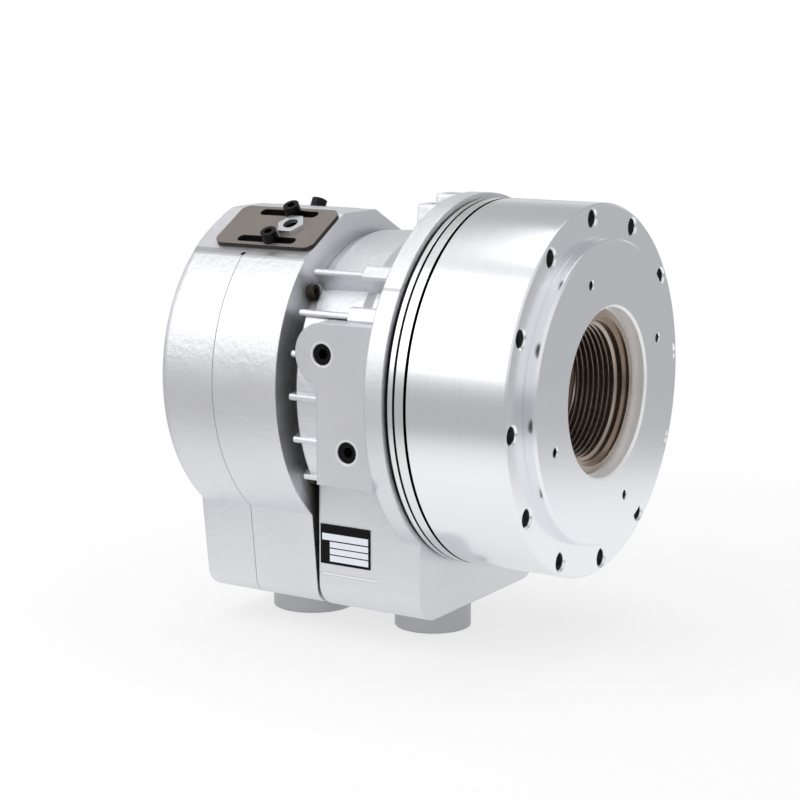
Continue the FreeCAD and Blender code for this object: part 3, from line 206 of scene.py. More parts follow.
@dataclass(frozen=True)
class Layers:
    """The layers of noise in the finishes."""

    cast_grain: Grain = Grain(1500.0, 2.0, 0.6)
    cast_pits: Grain = Grain(420.0, 3.0, 0.5)
    cast_waves: Grain = Grain(230.0, 3.0, 0.60)
    cast_cloud: Grain = Grain(22.0, 2.0, 0.5)
    turned_fine: Grain = Grain(5200.0, 2.0, 0.6)
    turned_broad: Grain = Grain(420.0, 2.0, 0.5)
    turned_cloud: Grain = Grain(30.0, 2.0, 0.5)
    rod_ring: Grain = Grain(1600.0, 2.0, 0.5)
    rod_cloud: Grain = Grain(60.0, 2.0, 0.5)
    sheet_streak: Grain = Grain(900.0, 3.0, 0.6)
    sheet_cloud: Grain = Grain(70.0, 3.0, 0.5)
    black_cloud: Grain = Grain(240.0, 3.0, 0.5)
    plain_cloud: Grain = Grain(120.0, 2.0, 0.5)


@dataclass(frozen=True)
class Weights:
    """How strongly layers add up and marks show, from 0 to 1 for marks."""

    cloud: float = 0.5
    grain: float = 0.35
    pits: float = 0.15
    grain_relief: float = 0.20
    pits_relief: float = 0.6
    waves_relief: float = 1.3
    parting_relief: float = 4.0
    pad_smoothing: float = 0.5
    broad_relief: float = 0.4
    underside_shade: float = 0.8
    seam: float = 0.75
    lip: float = 0.6
    mouth_rough: float = 0.12
    mouth_dielectric: float = 0.7
    black_cloud: float = 0.8
    brown: float = 0.8
    ink_rough: float = 0.20
    sheet_draw: float = 0.08


@dataclass(frozen=True)
class Shares:
    """How much of a finish's colour is left where it is mottled, marked or painted with shade."""

    cast_mottle: float = 0.78
    cast_crevice_shade: float = 0.10
    underside_shade: float = 0.45
    seam: float = 0.18
    hollow_shade: float = 0.02
    lip: float = 0.42
    turned_mottle: float = 0.95
    turned_crevice_shade: float = 0.16
    groove_shade: float = 0.01
    rod_mottle: float = 0.80
    rod_thread_shade: float = 0.80
    rod_crevice_shade: float = 0.75
    sheet_mottle: float = 0.84
    sheet_edge_shade: float = 0.10
    black_mottle: float = 2.4
    plain_mottle: float = 0.92


class Sock:
    """A shader value that can be used in ordinary sums."""

    def __init__(self, graph: "Graph", value: object) -> None:
        """Keep a socket or a number.

        Args:
            graph: the Graph that owns the nodes.
            value: an output socket or a float.
        """
        self.graph = graph
        self.value = value

    def _maths(self, kind: str, *others: object) -> "Sock":
        """Join values with one maths node.

        Args:
            kind: the operation's name.
            others: the remaining inputs.

        Returns:
            Sock: the result.
        """
        return self.graph.maths(kind, self, *others)

    def __add__(self, other: object) -> "Sock":
        """Return the sum."""
        return self._maths("ADD", other)

    def __sub__(self, other: object) -> "Sock":
        """Return the difference."""
        return self._maths("SUBTRACT", other)

    def __rsub__(self, other: object) -> "Sock":
        """Return the difference, the other way round."""
        return self.graph.maths("SUBTRACT", other, self)

    def __mul__(self, other: object) -> "Sock":
        """Return the product."""
        return self._maths("MULTIPLY", other)

    def __truediv__(self, other: object) -> "Sock":
        """Return the quotient."""
        return self._maths("DIVIDE", other)

    def __gt__(self, other: object) -> "Sock":
        """Return 1 where the value is the greater one."""
        return self._maths("GREATER_THAN", other)

    def __lt__(self, other: object) -> "Sock":
        """Return 1 where the value is the smaller one."""
        return self._maths("LESS_THAN", other)

    def absolute(self) -> "Sock":
        """Return the value without its sign."""
        return self._maths("ABSOLUTE")

    def root(self) -> "Sock":
        """Return the square root."""
        return self._maths("SQRT")

    def clamp(self) -> "Sock":
        """Return the value held between 0 and 1."""
        result = self._maths("ADD", 0.0)
        result.value.node.use_clamp = True
        return result

    def step(self, low: float, high: float) -> "Sock":
        """Rise smoothly from 0 at low to 1 at high, or fall where low is the larger.

        Args:
            low: where the step starts.
            high: where it ends.

        Returns:
            Sock: the step.
        """
        part = ((self - low) / (high - low)).clamp()
        return part * part * (3.0 - part * 2.0)

    def near(self, band: Band) -> "Sock":
        """Be 1 within the reach of a band's middle value and fall off softly outside.

        Args:
            band: the Band.

        Returns:
            Sock: 1 in the band, 0 outside.
        """
        return (self - band.middle).absolute().step(band.reach + band.soft, band.reach)


class Graph:
    """The node tree of one material."""

    def __init__(self, material: bpy.types.Material) -> None:
        """Start an empty tree with its output.

        Args:
            material: the Blender material to fill.
        """
        material.use_nodes = True
        self.tree = material.node_tree
        self.tree.nodes.clear()
        self.output = self.tree.nodes.new("ShaderNodeOutputMaterial")
        place = self.tree.nodes.new("ShaderNodeTexCoord")
        self.place = place.outputs["Object"]
        split = self.node("ShaderNodeSeparateXYZ", Vector=self.place)
        self.x, self.y, self.z = (Sock(self, split.outputs[k]) for k in "XYZ")
        self.rho = (self.y * self.y + self.z * self.z).root()

    def feed(self, socket: bpy.types.NodeSocket, value: object) -> None:
        """Link a value to an input or set it there.

        Args:
            socket: the input socket.
            value: a Sock, a socket or a constant.
        """
        if isinstance(value, Sock):
            value = value.value
        if isinstance(value, bpy.types.NodeSocket):
            self.tree.links.new(value, socket)
        else:
            socket.default_value = value

    def node(self, kind: str, settings: dict | None = None, **inputs: object) -> bpy.types.Node:
        """Add any node.

        Args:
            kind: the node's type name.
            settings: its properties, by name.
            inputs: its inputs, by name with underscores for spaces.

        Returns:
            bpy.types.Node: the new node.
        """
        made = self.tree.nodes.new(kind)
        for key, value in (settings or {}).items():
            setattr(made, key, value)
        for key, value in inputs.items():
            self.feed(made.inputs[key.replace("_", " ")], value)
        return made

    def maths(self, kind: str, *values: object) -> Sock:
        """Add one maths node.

        Args:
            kind: the operation's name.
            values: its inputs in order.

        Returns:
            Sock: the result.
        """
        made = self.node("ShaderNodeMath", {"operation": kind})
        for socket, value in zip(made.inputs, values):
            self.feed(socket, value)
        return Sock(self, made.outputs[0])

    def vector(self, x: object, y: object, z: object) -> bpy.types.NodeSocket:
        """Join three values to a vector.

        Args:
            x: the first value.
            y: the second value.
            z: the third value.

        Returns:
            NodeSocket: the vector.
        """
        return self.node("ShaderNodeCombineXYZ", X=x, Y=y, Z=z).outputs[0]

    def noise(self, vector: object, grain: Grain) -> Sock:
        """Add a noise texture.

        Args:
            vector: where it is read.
            grain: its Grain.

        Returns:
            Sock: values about 0 to 1.
        """
        made = self.node("ShaderNodeTexNoise", Vector=vector, Scale=grain.scale,
                         Detail=grain.detail, Roughness=grain.roughness)
        return Sock(self, made.outputs[0])

    def mix(self, amount: object, first: object, second: object) -> Sock:
        """Blend two colours.

        Args:
            amount: 0 for the first colour, 1 for the second.
            first: a colour.
            second: a colour.

        Returns:
            Sock: the blended colour.
        """
        made = self.node("ShaderNodeMix", {"data_type": "RGBA"})
        self.feed(made.inputs[0], amount)
        for index, colour in ((6, first), (7, second)):
            self.feed(made.inputs[index], colour)
        return Sock(self, made.outputs[2])

    def openness(self, reach: float) -> Sock:
        """Tell how freely a place is open to its surroundings.

        Args:
            reach: how far the surroundings count, in metres.

        Returns:
            Sock: 1 on an open face, near 0 in a deep crevice.
        """
        made = self.node("ShaderNodeAmbientOcclusion", {"samples": 6}, Distance=reach)
        return Sock(self, made.outputs["AO"])

    def rounded(self, radius: float) -> bpy.types.NodeSocket:
        """Round the sharp edges of a part in its shading.

        Args:
            radius: the radius of the edges in metres.

        Returns:
            NodeSocket: the rounded normal.
        """
        return self.node("ShaderNodeBevel", {"samples": 4}, Radius=radius).outputs[0]

    def slope(self, plan: Slope) -> tuple[Sock, Sock]:
        """Measure across and above one slope of the collector's roof.

        The slope is turned about the axis by its angle a: across is y cos a + z sin a and
        above is z cos a - y sin a less the slope's height.

        Args:
            plan: the Slope.

        Returns:
            tuple: the value across and the value above.
        """
        sine, cosine = math.sin(plan.angle), math.cos(plan.angle)
        across = self.y * cosine + self.z * sine
        above = self.z * cosine - self.y * sine - plan.height
        return across, above


class Room(Graph):
    """The shader of the room round the studio, by direction."""

    def __init__(self, world: bpy.types.World) -> None:
        """Start an empty tree that knows the direction looked in.

        Args:
            world: the Blender world to fill.
        """
        world.use_nodes = True
        self.tree = world.node_tree
        self.tree.nodes.clear()
        self.output = self.tree.nodes.new("ShaderNodeOutputWorld")
        way = self.tree.nodes.new("ShaderNodeTexCoord")
        split = self.node("ShaderNodeSeparateXYZ", Vector=way.outputs["Generated"])
        self.x, self.y, self.z = (Sock(self, split.outputs[k]) for k in "XYZ")

    def background(self, strength: object) -> bpy.types.NodeSocket:
        """Add one background of an even colour.

        Args:
            strength: its strength, where 1 is white.

        Returns:
            NodeSocket: its output.
        """
        made = self.node("ShaderNodeBackground", Color=(1.0, 1.0, 1.0, 1.0))
        self.feed(made.inputs["Strength"], strength)
        return made.outputs[0]


class Finisher:
    """Makes the procedural materials, one for each slot of the record."""

    def __init__(self, finishes: dict[str, Finish]) -> None:
        """Keep the finishes, with the places, noise, shares and weights of their patterns.

        Args:
            finishes: mapping from material slot to Finish.
        """
        self.finishes = finishes
        self.marks = Marks()
        self.layers = Layers()
        self.shares = Shares()
        self.weights = Weights()
        self.made: dict[str, bpy.types.Material] = {}

    def material(self, slot: str) -> bpy.types.Material:
        """Return the material of a slot, made once.

        Args:
            slot: the slot's name in the record.

        Returns:
            bpy.types.Material: the material.
        """
        if slot not in self.made:
            self.made[slot] = self._build(self.finishes[slot])
        return self.made[slot]

    def _build(self, finish: Finish) -> bpy.types.Material:
        """Build one material.

        Args:
            finish: its Finish.

        Returns:
            bpy.types.Material: the material.
        """
        material = bpy.data.materials.new("finish_" + finish.name)
        graph = Graph(material)
        shader = graph.node("ShaderNodeBsdfPrincipled")
        maker = {
            Pattern.CAST: self._cast,
            Pattern.TURNED: self._turned,
            Pattern.ROD: self._rod,
            Pattern.SHEET: self._sheet,
            Pattern.BLACKENED: self._blackened,
            Pattern.PLAIN: self._plain,
            Pattern.LABEL: self._label,
        }[finish.pattern]
        colour, rough, height, metallic = maker(graph, finish, (*finish.colour, 1.0))
        graph.feed(shader.inputs["Base Color"], colour)
        graph.feed(shader.inputs["Roughness"], rough)
        graph.feed(shader.inputs["Metallic"], metallic)
        shader.inputs["Specular IOR Level"].default_value = finish.gloss
        normal = graph.rounded(finish.corner) if finish.corner else None
        if height is not None:
            bump = graph.node("ShaderNodeBump", Strength=1.0, Distance=finish.relief,
                              Height=height)
            if normal is not None:
                graph.feed(bump.inputs["Normal"], normal)
            normal = bump.outputs[0]
        if normal is not None:
            graph.feed(shader.inputs["Normal"], normal)
        graph.tree.links.new(shader.outputs[0], graph.output.inputs["Surface"])
        return material

    @staticmethod
    def _tint(colour: Colour, share: float) -> tuple[float, float, float, float]:
        """Return a colour darkened or lightened by a share."""
        return tuple(min(1.0, part * share) for part in colour) + (1.0,)

    def _crevice_shade(self, graph: Graph, finish: Finish, shade: Sock, reach: float,
               share: float) -> Sock:
        """Paint shade into the crevices, darkest where the ambient occlusion finds a place most
        closed in.

        Args:
            graph: the material's Graph.
            finish: the Finish.
            shade: the colour before the painted shade.
            reach: how far the walls of a crevice count, in metres.
            share: how much of the colour is left at its bottom.

        Returns:
            Sock: the colour.
        """
        closed = graph.openness(reach).step(finish.crevice, finish.crevice * DEEPEST)
        return graph.mix(closed, shade, self._tint(finish.colour, share))

    def _cast(self, graph: Graph, finish: Finish, colour: tuple) -> tuple:
        """Blasted casting with fine grain, seam line, machined pads, painted shade and
        highlights.

        Args:
            graph: the material's Graph.
            finish: the Finish.
            colour: its colour with alpha.

        Returns:
            tuple: colour, roughness, height and metallic.
        """
        marks, shares, weights = self.marks, self.shares, self.weights
        grain = graph.noise(graph.place, self.layers.cast_grain)
        pits = graph.noise(graph.place, self.layers.cast_pits)
        cloud = graph.noise(graph.place, self.layers.cast_cloud)
        mottle = cloud * weights.cloud + grain * weights.grain + pits * weights.pits
        shade = graph.mix(mottle.clamp(), self._tint(finish.colour, shares.cast_mottle), colour)
        pad = graph.y < marks.pad
        rough = (cloud - 0.5) * finish.spread + finish.roughness
        waves = graph.noise(graph.place, self.layers.cast_waves)
        height = (grain * weights.grain_relief + pits * weights.pits_relief
                  + waves * weights.waves_relief)
        height = height * (1.0 - pad * weights.pad_smoothing)
        # Painted shade, near black, in the casting's crevices and in the gaps between parts.
        shade = self._crevice_shade(graph, finish, shade, CAST_REACH, shares.cast_crevice_shade)
        # Painted shade: the casting darkens below the basin's bottom, on its underside and
        # bosses.
        low = graph.z.step(*marks.basin_fall)
        under_shade = self._tint(finish.colour, shares.underside_shade)
        shade = graph.mix(low * weights.underside_shade, shade, under_shade)
        seam = graph.x.near(marks.seam) * (graph.z > marks.basin_bottom)
        shade = graph.mix(seam * weights.seam, shade, self._tint(finish.colour, shares.seam))
        # A parting ridge on the sump's near face: raised in the bump, with a painted highlight
        # along it.
        parting = (graph.z.near(marks.parting) * graph.x.near(marks.parting_span)
                   * (graph.y < marks.sump_face))
        shade = graph.mix(parting, shade, PARTING_HIGHLIGHT)
        height = height + parting * weights.parting_relief
        # Painted shadow, near black, on the roof under the plates' slots and in the seam's notch.
        hollow_shade = self._tint(finish.colour, shares.hollow_shade)
        for plan in (marks.near, marks.far):
            shade = graph.mix(self._slots(graph, plan), shade, hollow_shade)
        # Painted shade: a darker strip along the near slope's lip, standing in for a facet that
        # faces down.
        across, above = graph.slope(marks.near)
        lip = above.near(marks.lip) * (across < marks.lip_across)
        shade = graph.mix(lip * weights.lip, shade, self._tint(finish.colour, shares.lip))
        # Painted shade, near black, in the notch at the seam.
        notch = self._distance(graph, marks.seam_notch).step(*marks.notch_fall)
        shade = graph.mix(notch, shade, hollow_shade)
        # Painted highlight: a bright ring round each plug on the machined pad.
        for along, up in marks.plugs:
            gap = ((graph.x - along) * (graph.x - along) + (graph.z - up) * (graph.z - up)).root()
            shade = graph.mix(gap.near(marks.plug_ring) * pad, shade, PLUG_RING_HIGHLIGHT)
        return shade, rough, height, finish.metallic

    @staticmethod
    def _distance(graph: Graph, point: Point) -> Sock:
        """Return how far a place lies from a point."""
        parts = [(value - at) * (value - at) for value, at in zip((graph.x, graph.y, graph.z),
                                                                  point)]
        return (parts[0] + parts[1] + parts[2]).root()

    @staticmethod
    def _slots(graph: Graph, plan: Slope) -> Sock:
        """Find the strips of the roof under a plate's two slots, where a shadow is painted.

        Args:
            graph: the material's Graph.
            plan: the Slope.

        Returns:
            Sock: 1 on the strips.
        """
        across, above = graph.slope(plan)
        beside = ((across - plan.across).absolute() - plan.slot_reach).absolute()
        strip = beside < plan.slot_half_width
        along = (graph.x - plan.slot_middle).absolute() < plan.slot_half_length
        return strip * along * (above.absolute() < plan.slot_depth)

    def _turned(self, graph: Graph, finish: Finish, colour: tuple) -> tuple:
        """Turned metal: fine rings round the axis on drums and faces alike.

        Args:
            graph: the material's Graph.
            finish: the Finish.
            colour: its colour with alpha.

        Returns:
            tuple: colour, roughness, height and metallic.
        """
        along = graph.x + graph.rho
        fine = graph.noise(graph.vector(along, 0.0, 0.0), self.layers.turned_fine)
        broad = graph.noise(graph.vector(along, 0.0, 0.0), self.layers.turned_broad)
        cloud = graph.noise(graph.place, self.layers.turned_cloud)
        marks, shares = self.marks, self.shares
        shade = graph.mix(broad.clamp(), self._tint(finish.colour, shares.turned_mottle), colour)
        # Painted shade in the crevices of the turned parts.
        shade = self._crevice_shade(graph, finish, shade, TURNED_REACH, shares.turned_crevice_shade)
        # Painted shade, near black, along two grooves round the drum.
        for groove_shade in marks.grooves:
            line = graph.x.near(groove_shade) * (graph.rho > marks.drum_least)
            shade = graph.mix(line, shade, self._tint(finish.colour, shares.groove_shade))
        # Painted highlight: the mouth ring is made near white, rougher and less metallic so that
        # it shows bright.
        mouth = (graph.rho < marks.mouth_radius) * (graph.x > marks.mouth_depth)
        rough = (broad - 0.5) * finish.spread + (cloud - 0.5) * finish.spread * 0.5
        rough = rough + finish.roughness + mouth * self.weights.mouth_rough
        shade = graph.mix(mouth, shade, MOUTH_HIGHLIGHT)
        metallic = finish.metallic - mouth * self.weights.mouth_dielectric
        return shade, rough, fine + broad * self.weights.broad_relief, metallic

    def _rod(self, graph: Graph, finish: Finish, colour: tuple) -> tuple:
        """Oiled brown rod steel, with painted shade between the threads and in its crevices.

        Args:
            graph: the material's Graph.
            finish: the Finish.
            colour: its colour with alpha.

        Returns:
            tuple: colour, roughness, height and metallic.
        """
        marks, shares = self.marks, self.shares
        ring = graph.noise(graph.vector(graph.x, graph.rho, 0.0), self.layers.rod_ring)
        cloud = graph.noise(graph.place, self.layers.rod_cloud)
        shade = graph.mix((ring * 0.5 + cloud * 0.5).clamp(),
                          self._tint(finish.colour, shares.rod_mottle), colour)
        # Painted shade toward the thread's root between the ridges, inside the mouth.
        deep = graph.rho.step(*marks.thread_depth) * graph.x.step(*marks.thread_start)
        deep = deep * (graph.x > marks.thread_end)
        shade = graph.mix(deep, shade, self._tint(finish.colour, shares.rod_thread_shade))
        # Painted shade in the rod's crevices.
        shade = self._crevice_shade(graph, finish, shade, TURNED_REACH, shares.rod_crevice_shade)
        return shade, (cloud - 0.5) * finish.spread + finish.roughness, ring, finish.metallic

    def _sheet(self, graph: Graph, finish: Finish, colour: tuple) -> tuple:
        """Rolled sheet with its cut edges painted dark as shade.

        Args:
            graph: the material's Graph.
            finish: the Finish.
            colour: its colour with alpha.

        Returns:
            tuple: colour, roughness, height and metallic.
        """
        shares = self.shares
        drawn = graph.vector(graph.x * self.weights.sheet_draw, graph.y, graph.z)
        streak = graph.noise(drawn, self.layers.sheet_streak)
        cloud = graph.noise(graph.place, self.layers.sheet_cloud)
        shade = graph.mix((streak * 0.5 + cloud * 0.5).clamp(),
                          self._tint(finish.colour, shares.sheet_mottle), colour)
        # Painted shade: the plates' side faces below their top skin are made dark.
        near, far = self.marks.near, self.marks.far
        near_edge = (graph.y < 0.0) * (graph.slope(near)[1] < near.sheet - near.sheet_skin)
        far_edge = (graph.y > 0.0) * (graph.slope(far)[1] < far.sheet - far.sheet_skin)
        shade = graph.mix((near_edge + far_edge).clamp(), shade,
                          self._tint(finish.colour, shares.sheet_edge_shade))
        return shade, (cloud - 0.5) * finish.spread + finish.roughness, streak, finish.metallic

    def _blackened(self, graph: Graph, finish: Finish, colour: tuple) -> tuple:
        """Black oxide: dark with a faint oily variation.

        Args:
            graph: the material's Graph.
            finish: the Finish.
            colour: its colour with alpha.

        Returns:
            tuple: colour, roughness, height and metallic.
        """
        cloud = graph.noise(graph.place, self.layers.black_cloud)
        shade = graph.mix((cloud * self.weights.black_cloud).clamp(), colour,
                          self._tint(finish.colour, self.shares.black_mottle))
        low, high = self.marks.joining_heads
        brown = (graph.x > low) * (graph.x < high) * graph.rho.near(self.marks.joining_ring)
        shade = graph.mix(brown * self.weights.brown, shade, BROWN_HEAD)
        return shade, (cloud - 0.5) * finish.spread + finish.roughness, cloud, finish.metallic

    def _plain(self, graph: Graph, finish: Finish, colour: tuple) -> tuple:
        """Even surface with a slight cloudiness.

        Args:
            graph: the material's Graph.
            finish: the Finish.
            colour: its colour with alpha.

        Returns:
            tuple: colour, roughness, height and metallic.
        """
        cloud = graph.noise(graph.place, self.layers.plain_cloud)
        shade = graph.mix(cloud.clamp(), self._tint(finish.colour, self.shares.plain_mottle),
                          colour)
        return shade, (cloud - 0.5) * finish.spread + finish.roughness, cloud, finish.metallic

    def _label(self, graph: Graph, finish: Finish, colour: tuple) -> tuple:
        """A blank plate: a dark header, border and margin round empty bright rows.

        Args:
            graph: the material's Graph.
            finish: the Finish.
            colour: its colour with alpha.

        Returns:
            tuple: colour, roughness, no height, and metallic.
        """
        marks = self.marks
        (left, right), (low, high) = marks.label_along, marks.label_up
        across = (graph.x - left) / (right - left)
        up = (graph.z - low) / (high - low)
        first, last, bottom, top = marks.label_border
        dark = (across < first) + (across > last) + (up < bottom) + (up > top)
        dark = dark + (across < marks.label_margin[0]) * (up < marks.label_margin[1])
        for line in marks.label_lines:
            dark = dark + up.near(line)
        dark = dark.clamp()
        shade = graph.mix(dark, colour, BLACK_INK)
        rough = dark * self.weights.ink_rough + finish.roughness
        return shade, rough, None, finish.metallic


@dataclass
class SubAssembly:
    """Nodes of the frame that belong together, with the finisher that dresses them."""

    finisher: Finisher
    nodes: tuple[str, ...] = ()

    def build(self) -> None:
        """Make the pieces that are finer than the solids, where there are any."""

    def dress(self, slots: dict[str, str]) -> None:
        """Give every node its material.

        Args:
            slots: mapping from node to material slot.
        """
        for name in self.nodes:
            material = self.finisher.material(slots[name])
            for place in frame["nodes"][name].material_slots:
                place.material = material
            LOG.info("dressed %s as %s", name, slots[name])


@dataclass
class Rotor(SubAssembly):
    """The drum with its cover, screws, bearings' inner rings and slingers."""

    nodes: tuple[str, ...] = (
        "cylinder_body", "rear_cover", "cover_screws", "guide_pins", "check_valve_cartridges",
        "rod_seal", "tube_seal", "oil_slinger", "front_bearing_inner_ring",
        "rear_bearing_inner_ring", "bearing_lock_nut")


@dataclass
class PistonUnit(SubAssembly):
    """The piston with its threaded rod end, tube and stroke ring."""

    nodes: tuple[str, ...] = ("piston", "piston_seal", "stroke_ring", "stroke_ring_set_screws",
                              "coolant_slinger")
    root_radius: float = 0.0359
    crest_radius: float = 0.0341
    pitch: float = 0.003
    front: float = -0.0039
    rear: float = -0.0332
    steps: int = 144
    profile: tuple[float, ...] = (0.43, 0.10, -0.10, -0.43)
    sunk: float = 0.00005
    run_out: float = 0.35
    least_crest: float = 0.02

    def build(self) -> None:
        """Cut the draw thread in the rod's mouth."""
        ridge = self._ridge()
        ridge.data.materials.append(self.finisher.material("rod_steel"))
        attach(ridge, "piston_unit")
        LOG.info("made %s", ridge.name)

    def _ridge(self) -> bpy.types.Object:
        """Make the thread's ridge as one closed mesh.

        A flat-topped profile of four points is carried along a helix: at angle t the profile
        stands at x = front - pitch t / 2 pi, its points at the root or crest radius on the
        direction (-sin t, cos t) across the axis, and the crest sinks to the root at both ends.

        Returns:
            bpy.types.Object: the ridge at the origin.
        """
        turns = (self.front - self.rear) / self.pitch - 1.0
        count = int(turns * self.steps) + 1
        angle = np.linspace(0.0, turns * 2.0 * math.pi, count)
        middle = self.front - self.pitch * 0.5 - angle / (2.0 * math.pi) * self.pitch
        fade = np.clip(np.minimum(angle, angle[-1] - angle) / (self.run_out * math.pi),
                       self.least_crest, 1.0)
        root = np.full(count, self.root_radius + self.sunk)
        crest = self.root_radius - (self.root_radius - self.crest_radius) * fade
        shift = np.array(self.profile) * self.pitch
        radius = np.stack((root, crest, crest, root), axis=1)
        points = np.stack((middle[:, None] + shift[None, :],
                           -radius * np.sin(angle)[:, None],
                           radius * np.cos(angle)[:, None]), axis=2).reshape(-1, 3)
        corner = np.arange(4)
        start = (np.arange(count - 1) * 4)[:, None]
        ahead = (corner + 1) % 4
        faces = np.stack((start + corner, start + ahead, start + ahead + 4, start + corner + 4),
                         axis=2).reshape(-1, 4)
        last = (count - 1) * 4
        caps = np.array(((3, 2, 1, 0), (last, last + 1, last + 2, last + 3)))
        mesh = bpy.data.meshes.new("draw_thread_ridge")
        mesh.from_pydata(points.tolist(), [], np.concatenate((faces, caps)).tolist())
        mesh.update()
        mesh.validate()
        ridge = bpy.data.objects.new("draw_thread_ridge", mesh)
        bpy.context.scene.collection.objects.link(ridge)
        return ridge


@dataclass
class Distributor(SubAssembly):
    """The cast oil distributor with its bearings' outer rings, plugs and rating plate."""

    nodes: tuple[str, ...] = (
        "distributor_housing", "port_plugs", "rating_plate", "front_bearing_outer_ring",
        "rear_bearing_outer_ring", "front_bearing_ball_cage", "rear_bearing_ball_cage",
        "bearing_snap_ring")


@dataclass
class Collector(SubAssembly):
    """The coolant collector with its screws and drain socket."""

    nodes: tuple[str, ...] = (
        "collector_front_half", "collector_rear_half", "collector_joining_screws",
        "collector_mounting_screws", "collector_drain_socket")


@dataclass
class SensorPlates(SubAssembly):
    """The slotted plates on the roof with their inserts and screws."""

    nodes: tuple[str, ...] = (
        "near_sensor_plate", "near_sensor_nut", "near_plate_screws", "far_sensor_plate",
        "far_sensor_nut", "far_plate_screws")


class Studio:
    """Floor, lamps, world and camera."""

    def __init__(self, plan: StudioPlan, optics: Optics) -> None:
        """Keep the plans.

        Args:
            plan: a StudioPlan.
            optics: an Optics.
        """
        self.plan = plan
        self.optics = optics

    def build(self) -> None:
        """Make the floor, the lamps, the world and the camera."""
        self._floor()
        for lamp in self.plan.lamps:
            self._lamp(lamp)
        self._world()
        self._camera()
        bpy.context.scene.view_settings.view_transform = "Standard"

    def _floor(self) -> None:
        """Lay a pale floor that darkens away from the object where metal shows it."""
        plan = self.plan
        half = plan.half_width
        outline = [(-half, -half, plan.floor), (half, -half, plan.floor),
                   (half, half, plan.floor), (-half, half, plan.floor)]
        mesh = bpy.data.meshes.new("studio_floor")
        mesh.from_pydata(outline, [], [(0, 1, 2, 3)])
        floor = bpy.data.objects.new("studio_floor", mesh)
        bpy.context.scene.collection.objects.link(floor)
        material = bpy.data.materials.new("floor_white")
        graph = Graph(material)
        cloud = graph.noise(graph.place, plan.floor_cloud)
        shade = graph.mix(cloud.clamp(), *plan.floor_whites)
        shader = graph.node("ShaderNodeBsdfPrincipled", Base_Color=shade, Roughness=0.9)
        path = graph.node("ShaderNodeLightPath")
        eye = Sock(graph, path.outputs["Is Camera Ray"])
        glossy = Sock(graph, path.outputs["Is Glossy Ray"])
        seen = (eye + glossy + Sock(graph, path.outputs["Is Transmission Ray"])).clamp()
        side, back = graph.x - plan.floor_centre[0], graph.y - plan.floor_centre[1]
        away = (side * side + back * back).root().step(plan.near_floor, plan.far_floor)
        far = (plan.far_tone, plan.far_tone, plan.far_tone * 1.02, 1.0)
        tone = graph.mix(away * glossy, (1.0, 1.0, 1.0, 1.0), far)
        glow = graph.node("ShaderNodeEmission", Color=tone, Strength=1.0)
        mixed = graph.node("ShaderNodeMixShader")
        graph.feed(mixed.inputs[0], seen * (away * (1.0 - plan.near_glow) + plan.near_glow))
        graph.tree.links.new(shader.outputs[0], mixed.inputs[1])
        graph.tree.links.new(glow.outputs[0], mixed.inputs[2])
        graph.tree.links.new(mixed.outputs[0], graph.output.inputs["Surface"])
        mesh.materials.append(material)

    def _lamp(self, lamp: SoftBox) -> None:
        """Hang one soft lamp.

        Args:
            lamp: a SoftBox.
        """
        data = bpy.data.lights.new(lamp.name, "AREA")
        data.shape = "RECTANGLE"
        data.size = lamp.width
        data.size_y = lamp.height
        data.energy = lamp.power
        made = bpy.data.objects.new(lamp.name, data)
        bpy.context.scene.collection.objects.link(made)
        self._aim(made, lamp.place, lamp.aim)

    @staticmethod
    def _aim(thing: bpy.types.Object, place: Point, target: Point) -> None:
        """Put something at a place so that it looks at a target.

        Args:
            thing: a lamp or a camera.
            place: where it stands.
            target: what it looks at.
        """
        back = Vector(place) - Vector(target)
        thing.location = place
        thing.rotation_mode = "QUATERNION"
        thing.rotation_quaternion = back.to_track_quat("Z", "Y")

    def _world(self) -> None:
        """Make a white background and a pale room that is darker low down and high behind."""
        world = bpy.data.worlds.new("studio_world")
        bpy.context.scene.world = world
        room = Room(world)
        plan = self.plan
        low = room.z.step(*plan.low_fall)
        high_back = room.y.step(*plan.back_rise) * room.z.step(*plan.high_rise)
        level = 1.0 - low * plan.low_share - high_back * plan.back_share
        light = room.background(level * plan.room_level)
        white = room.background(1.0)
        path = room.node("ShaderNodeLightPath")
        mixed = room.node("ShaderNodeMixShader")
        room.feed(mixed.inputs[0], path.outputs["Is Camera Ray"])
        room.tree.links.new(light, mixed.inputs[1])
        room.tree.links.new(white, mixed.inputs[2])
        room.tree.links.new(mixed.outputs[0], room.output.inputs["Surface"])

    def _camera(self) -> None:
        """Put the camera where the photograph was taken."""
        data = bpy.data.cameras.new("photo_camera")
        data.lens = self.optics.lens
        data.sensor_width = self.optics.sensor
        camera = bpy.data.objects.new("photo_camera", data)
        bpy.context.scene.collection.objects.link(camera)
        self._aim(camera, self.optics.eye, self.optics.target)
        bpy.context.scene.camera = camera


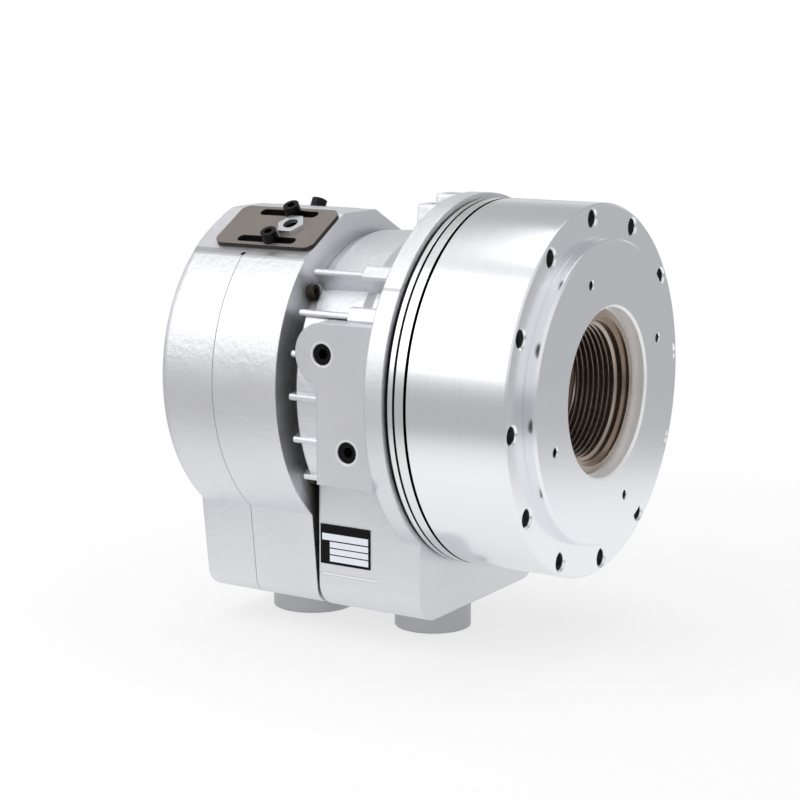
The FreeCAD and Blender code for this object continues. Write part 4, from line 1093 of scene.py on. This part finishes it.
FINISHES = {
    "turned_alloy": Finish("turned_alloy", (0.90, 0.915, 0.945), 1.0, 0.20, Pattern.TURNED,
                           relief=0.000010, spread=0.08, corner=0.0005, crevice=0.45),
    "turned_steel": Finish("turned_steel", (0.84, 0.845, 0.86), 1.0, 0.22, Pattern.TURNED,
                           relief=0.000008, spread=0.08, corner=0.0004, crevice=0.45),
    "rod_steel": Finish("rod_steel", (0.52, 0.44, 0.38), 1.0, 0.27, Pattern.ROD,
                        relief=0.000004, spread=0.08, corner=0.0003, crevice=0.40),
    "bearing_steel": Finish("bearing_steel", (0.75, 0.75, 0.76), 1.0, 0.14, Pattern.PLAIN,
                            relief=0.0000005, spread=0.04),
    "casting": Finish("casting", (0.86, 0.863, 0.90), 0.88, 0.42, Pattern.CAST,
                      relief=0.00022, spread=0.12, corner=0.0010, crevice=0.50),
    "black_screw": Finish("black_screw", (0.008, 0.008, 0.009), 0.80, 0.32, Pattern.BLACKENED,
                          relief=0.00001, spread=0.12, corner=0.0003, gloss=0.35),
    "plated_insert": Finish("plated_insert", (0.90, 0.92, 0.96), 0.9, 0.26, Pattern.PLAIN,
                            relief=0.000004, spread=0.08, corner=0.0005),
    "plate_sheet": Finish("plate_sheet", (0.265, 0.235, 0.215), 0.55, 0.42, Pattern.SHEET,
                          relief=0.000006, spread=0.10, corner=0.0005),
    "seal_rubber": Finish("seal_rubber", (0.02, 0.02, 0.022), 0.0, 0.6, Pattern.PLAIN,
                          relief=0.00001, spread=0.10),
    "label_plate": Finish("label_plate", (0.86, 0.89, 0.95), 0.35, 0.40, Pattern.LABEL,
                          gloss=0.2),
}


def main() -> None:
    """Build the looks, one sub-assembly after another."""
    logging.basicConfig(level=logging.INFO)
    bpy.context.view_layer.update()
    slots = {row["node"]: row["material_slot"] for row in frame["record"]["subparts"]}
    finisher = Finisher(FINISHES)
    for kind in (Rotor, PistonUnit, Distributor, Collector, SensorPlates):
        unit = kind(finisher)
        unit.build()
        unit.dress(slots)
    Studio(StudioPlan(), Optics()).build()


if __name__ == "__main__":
    main()
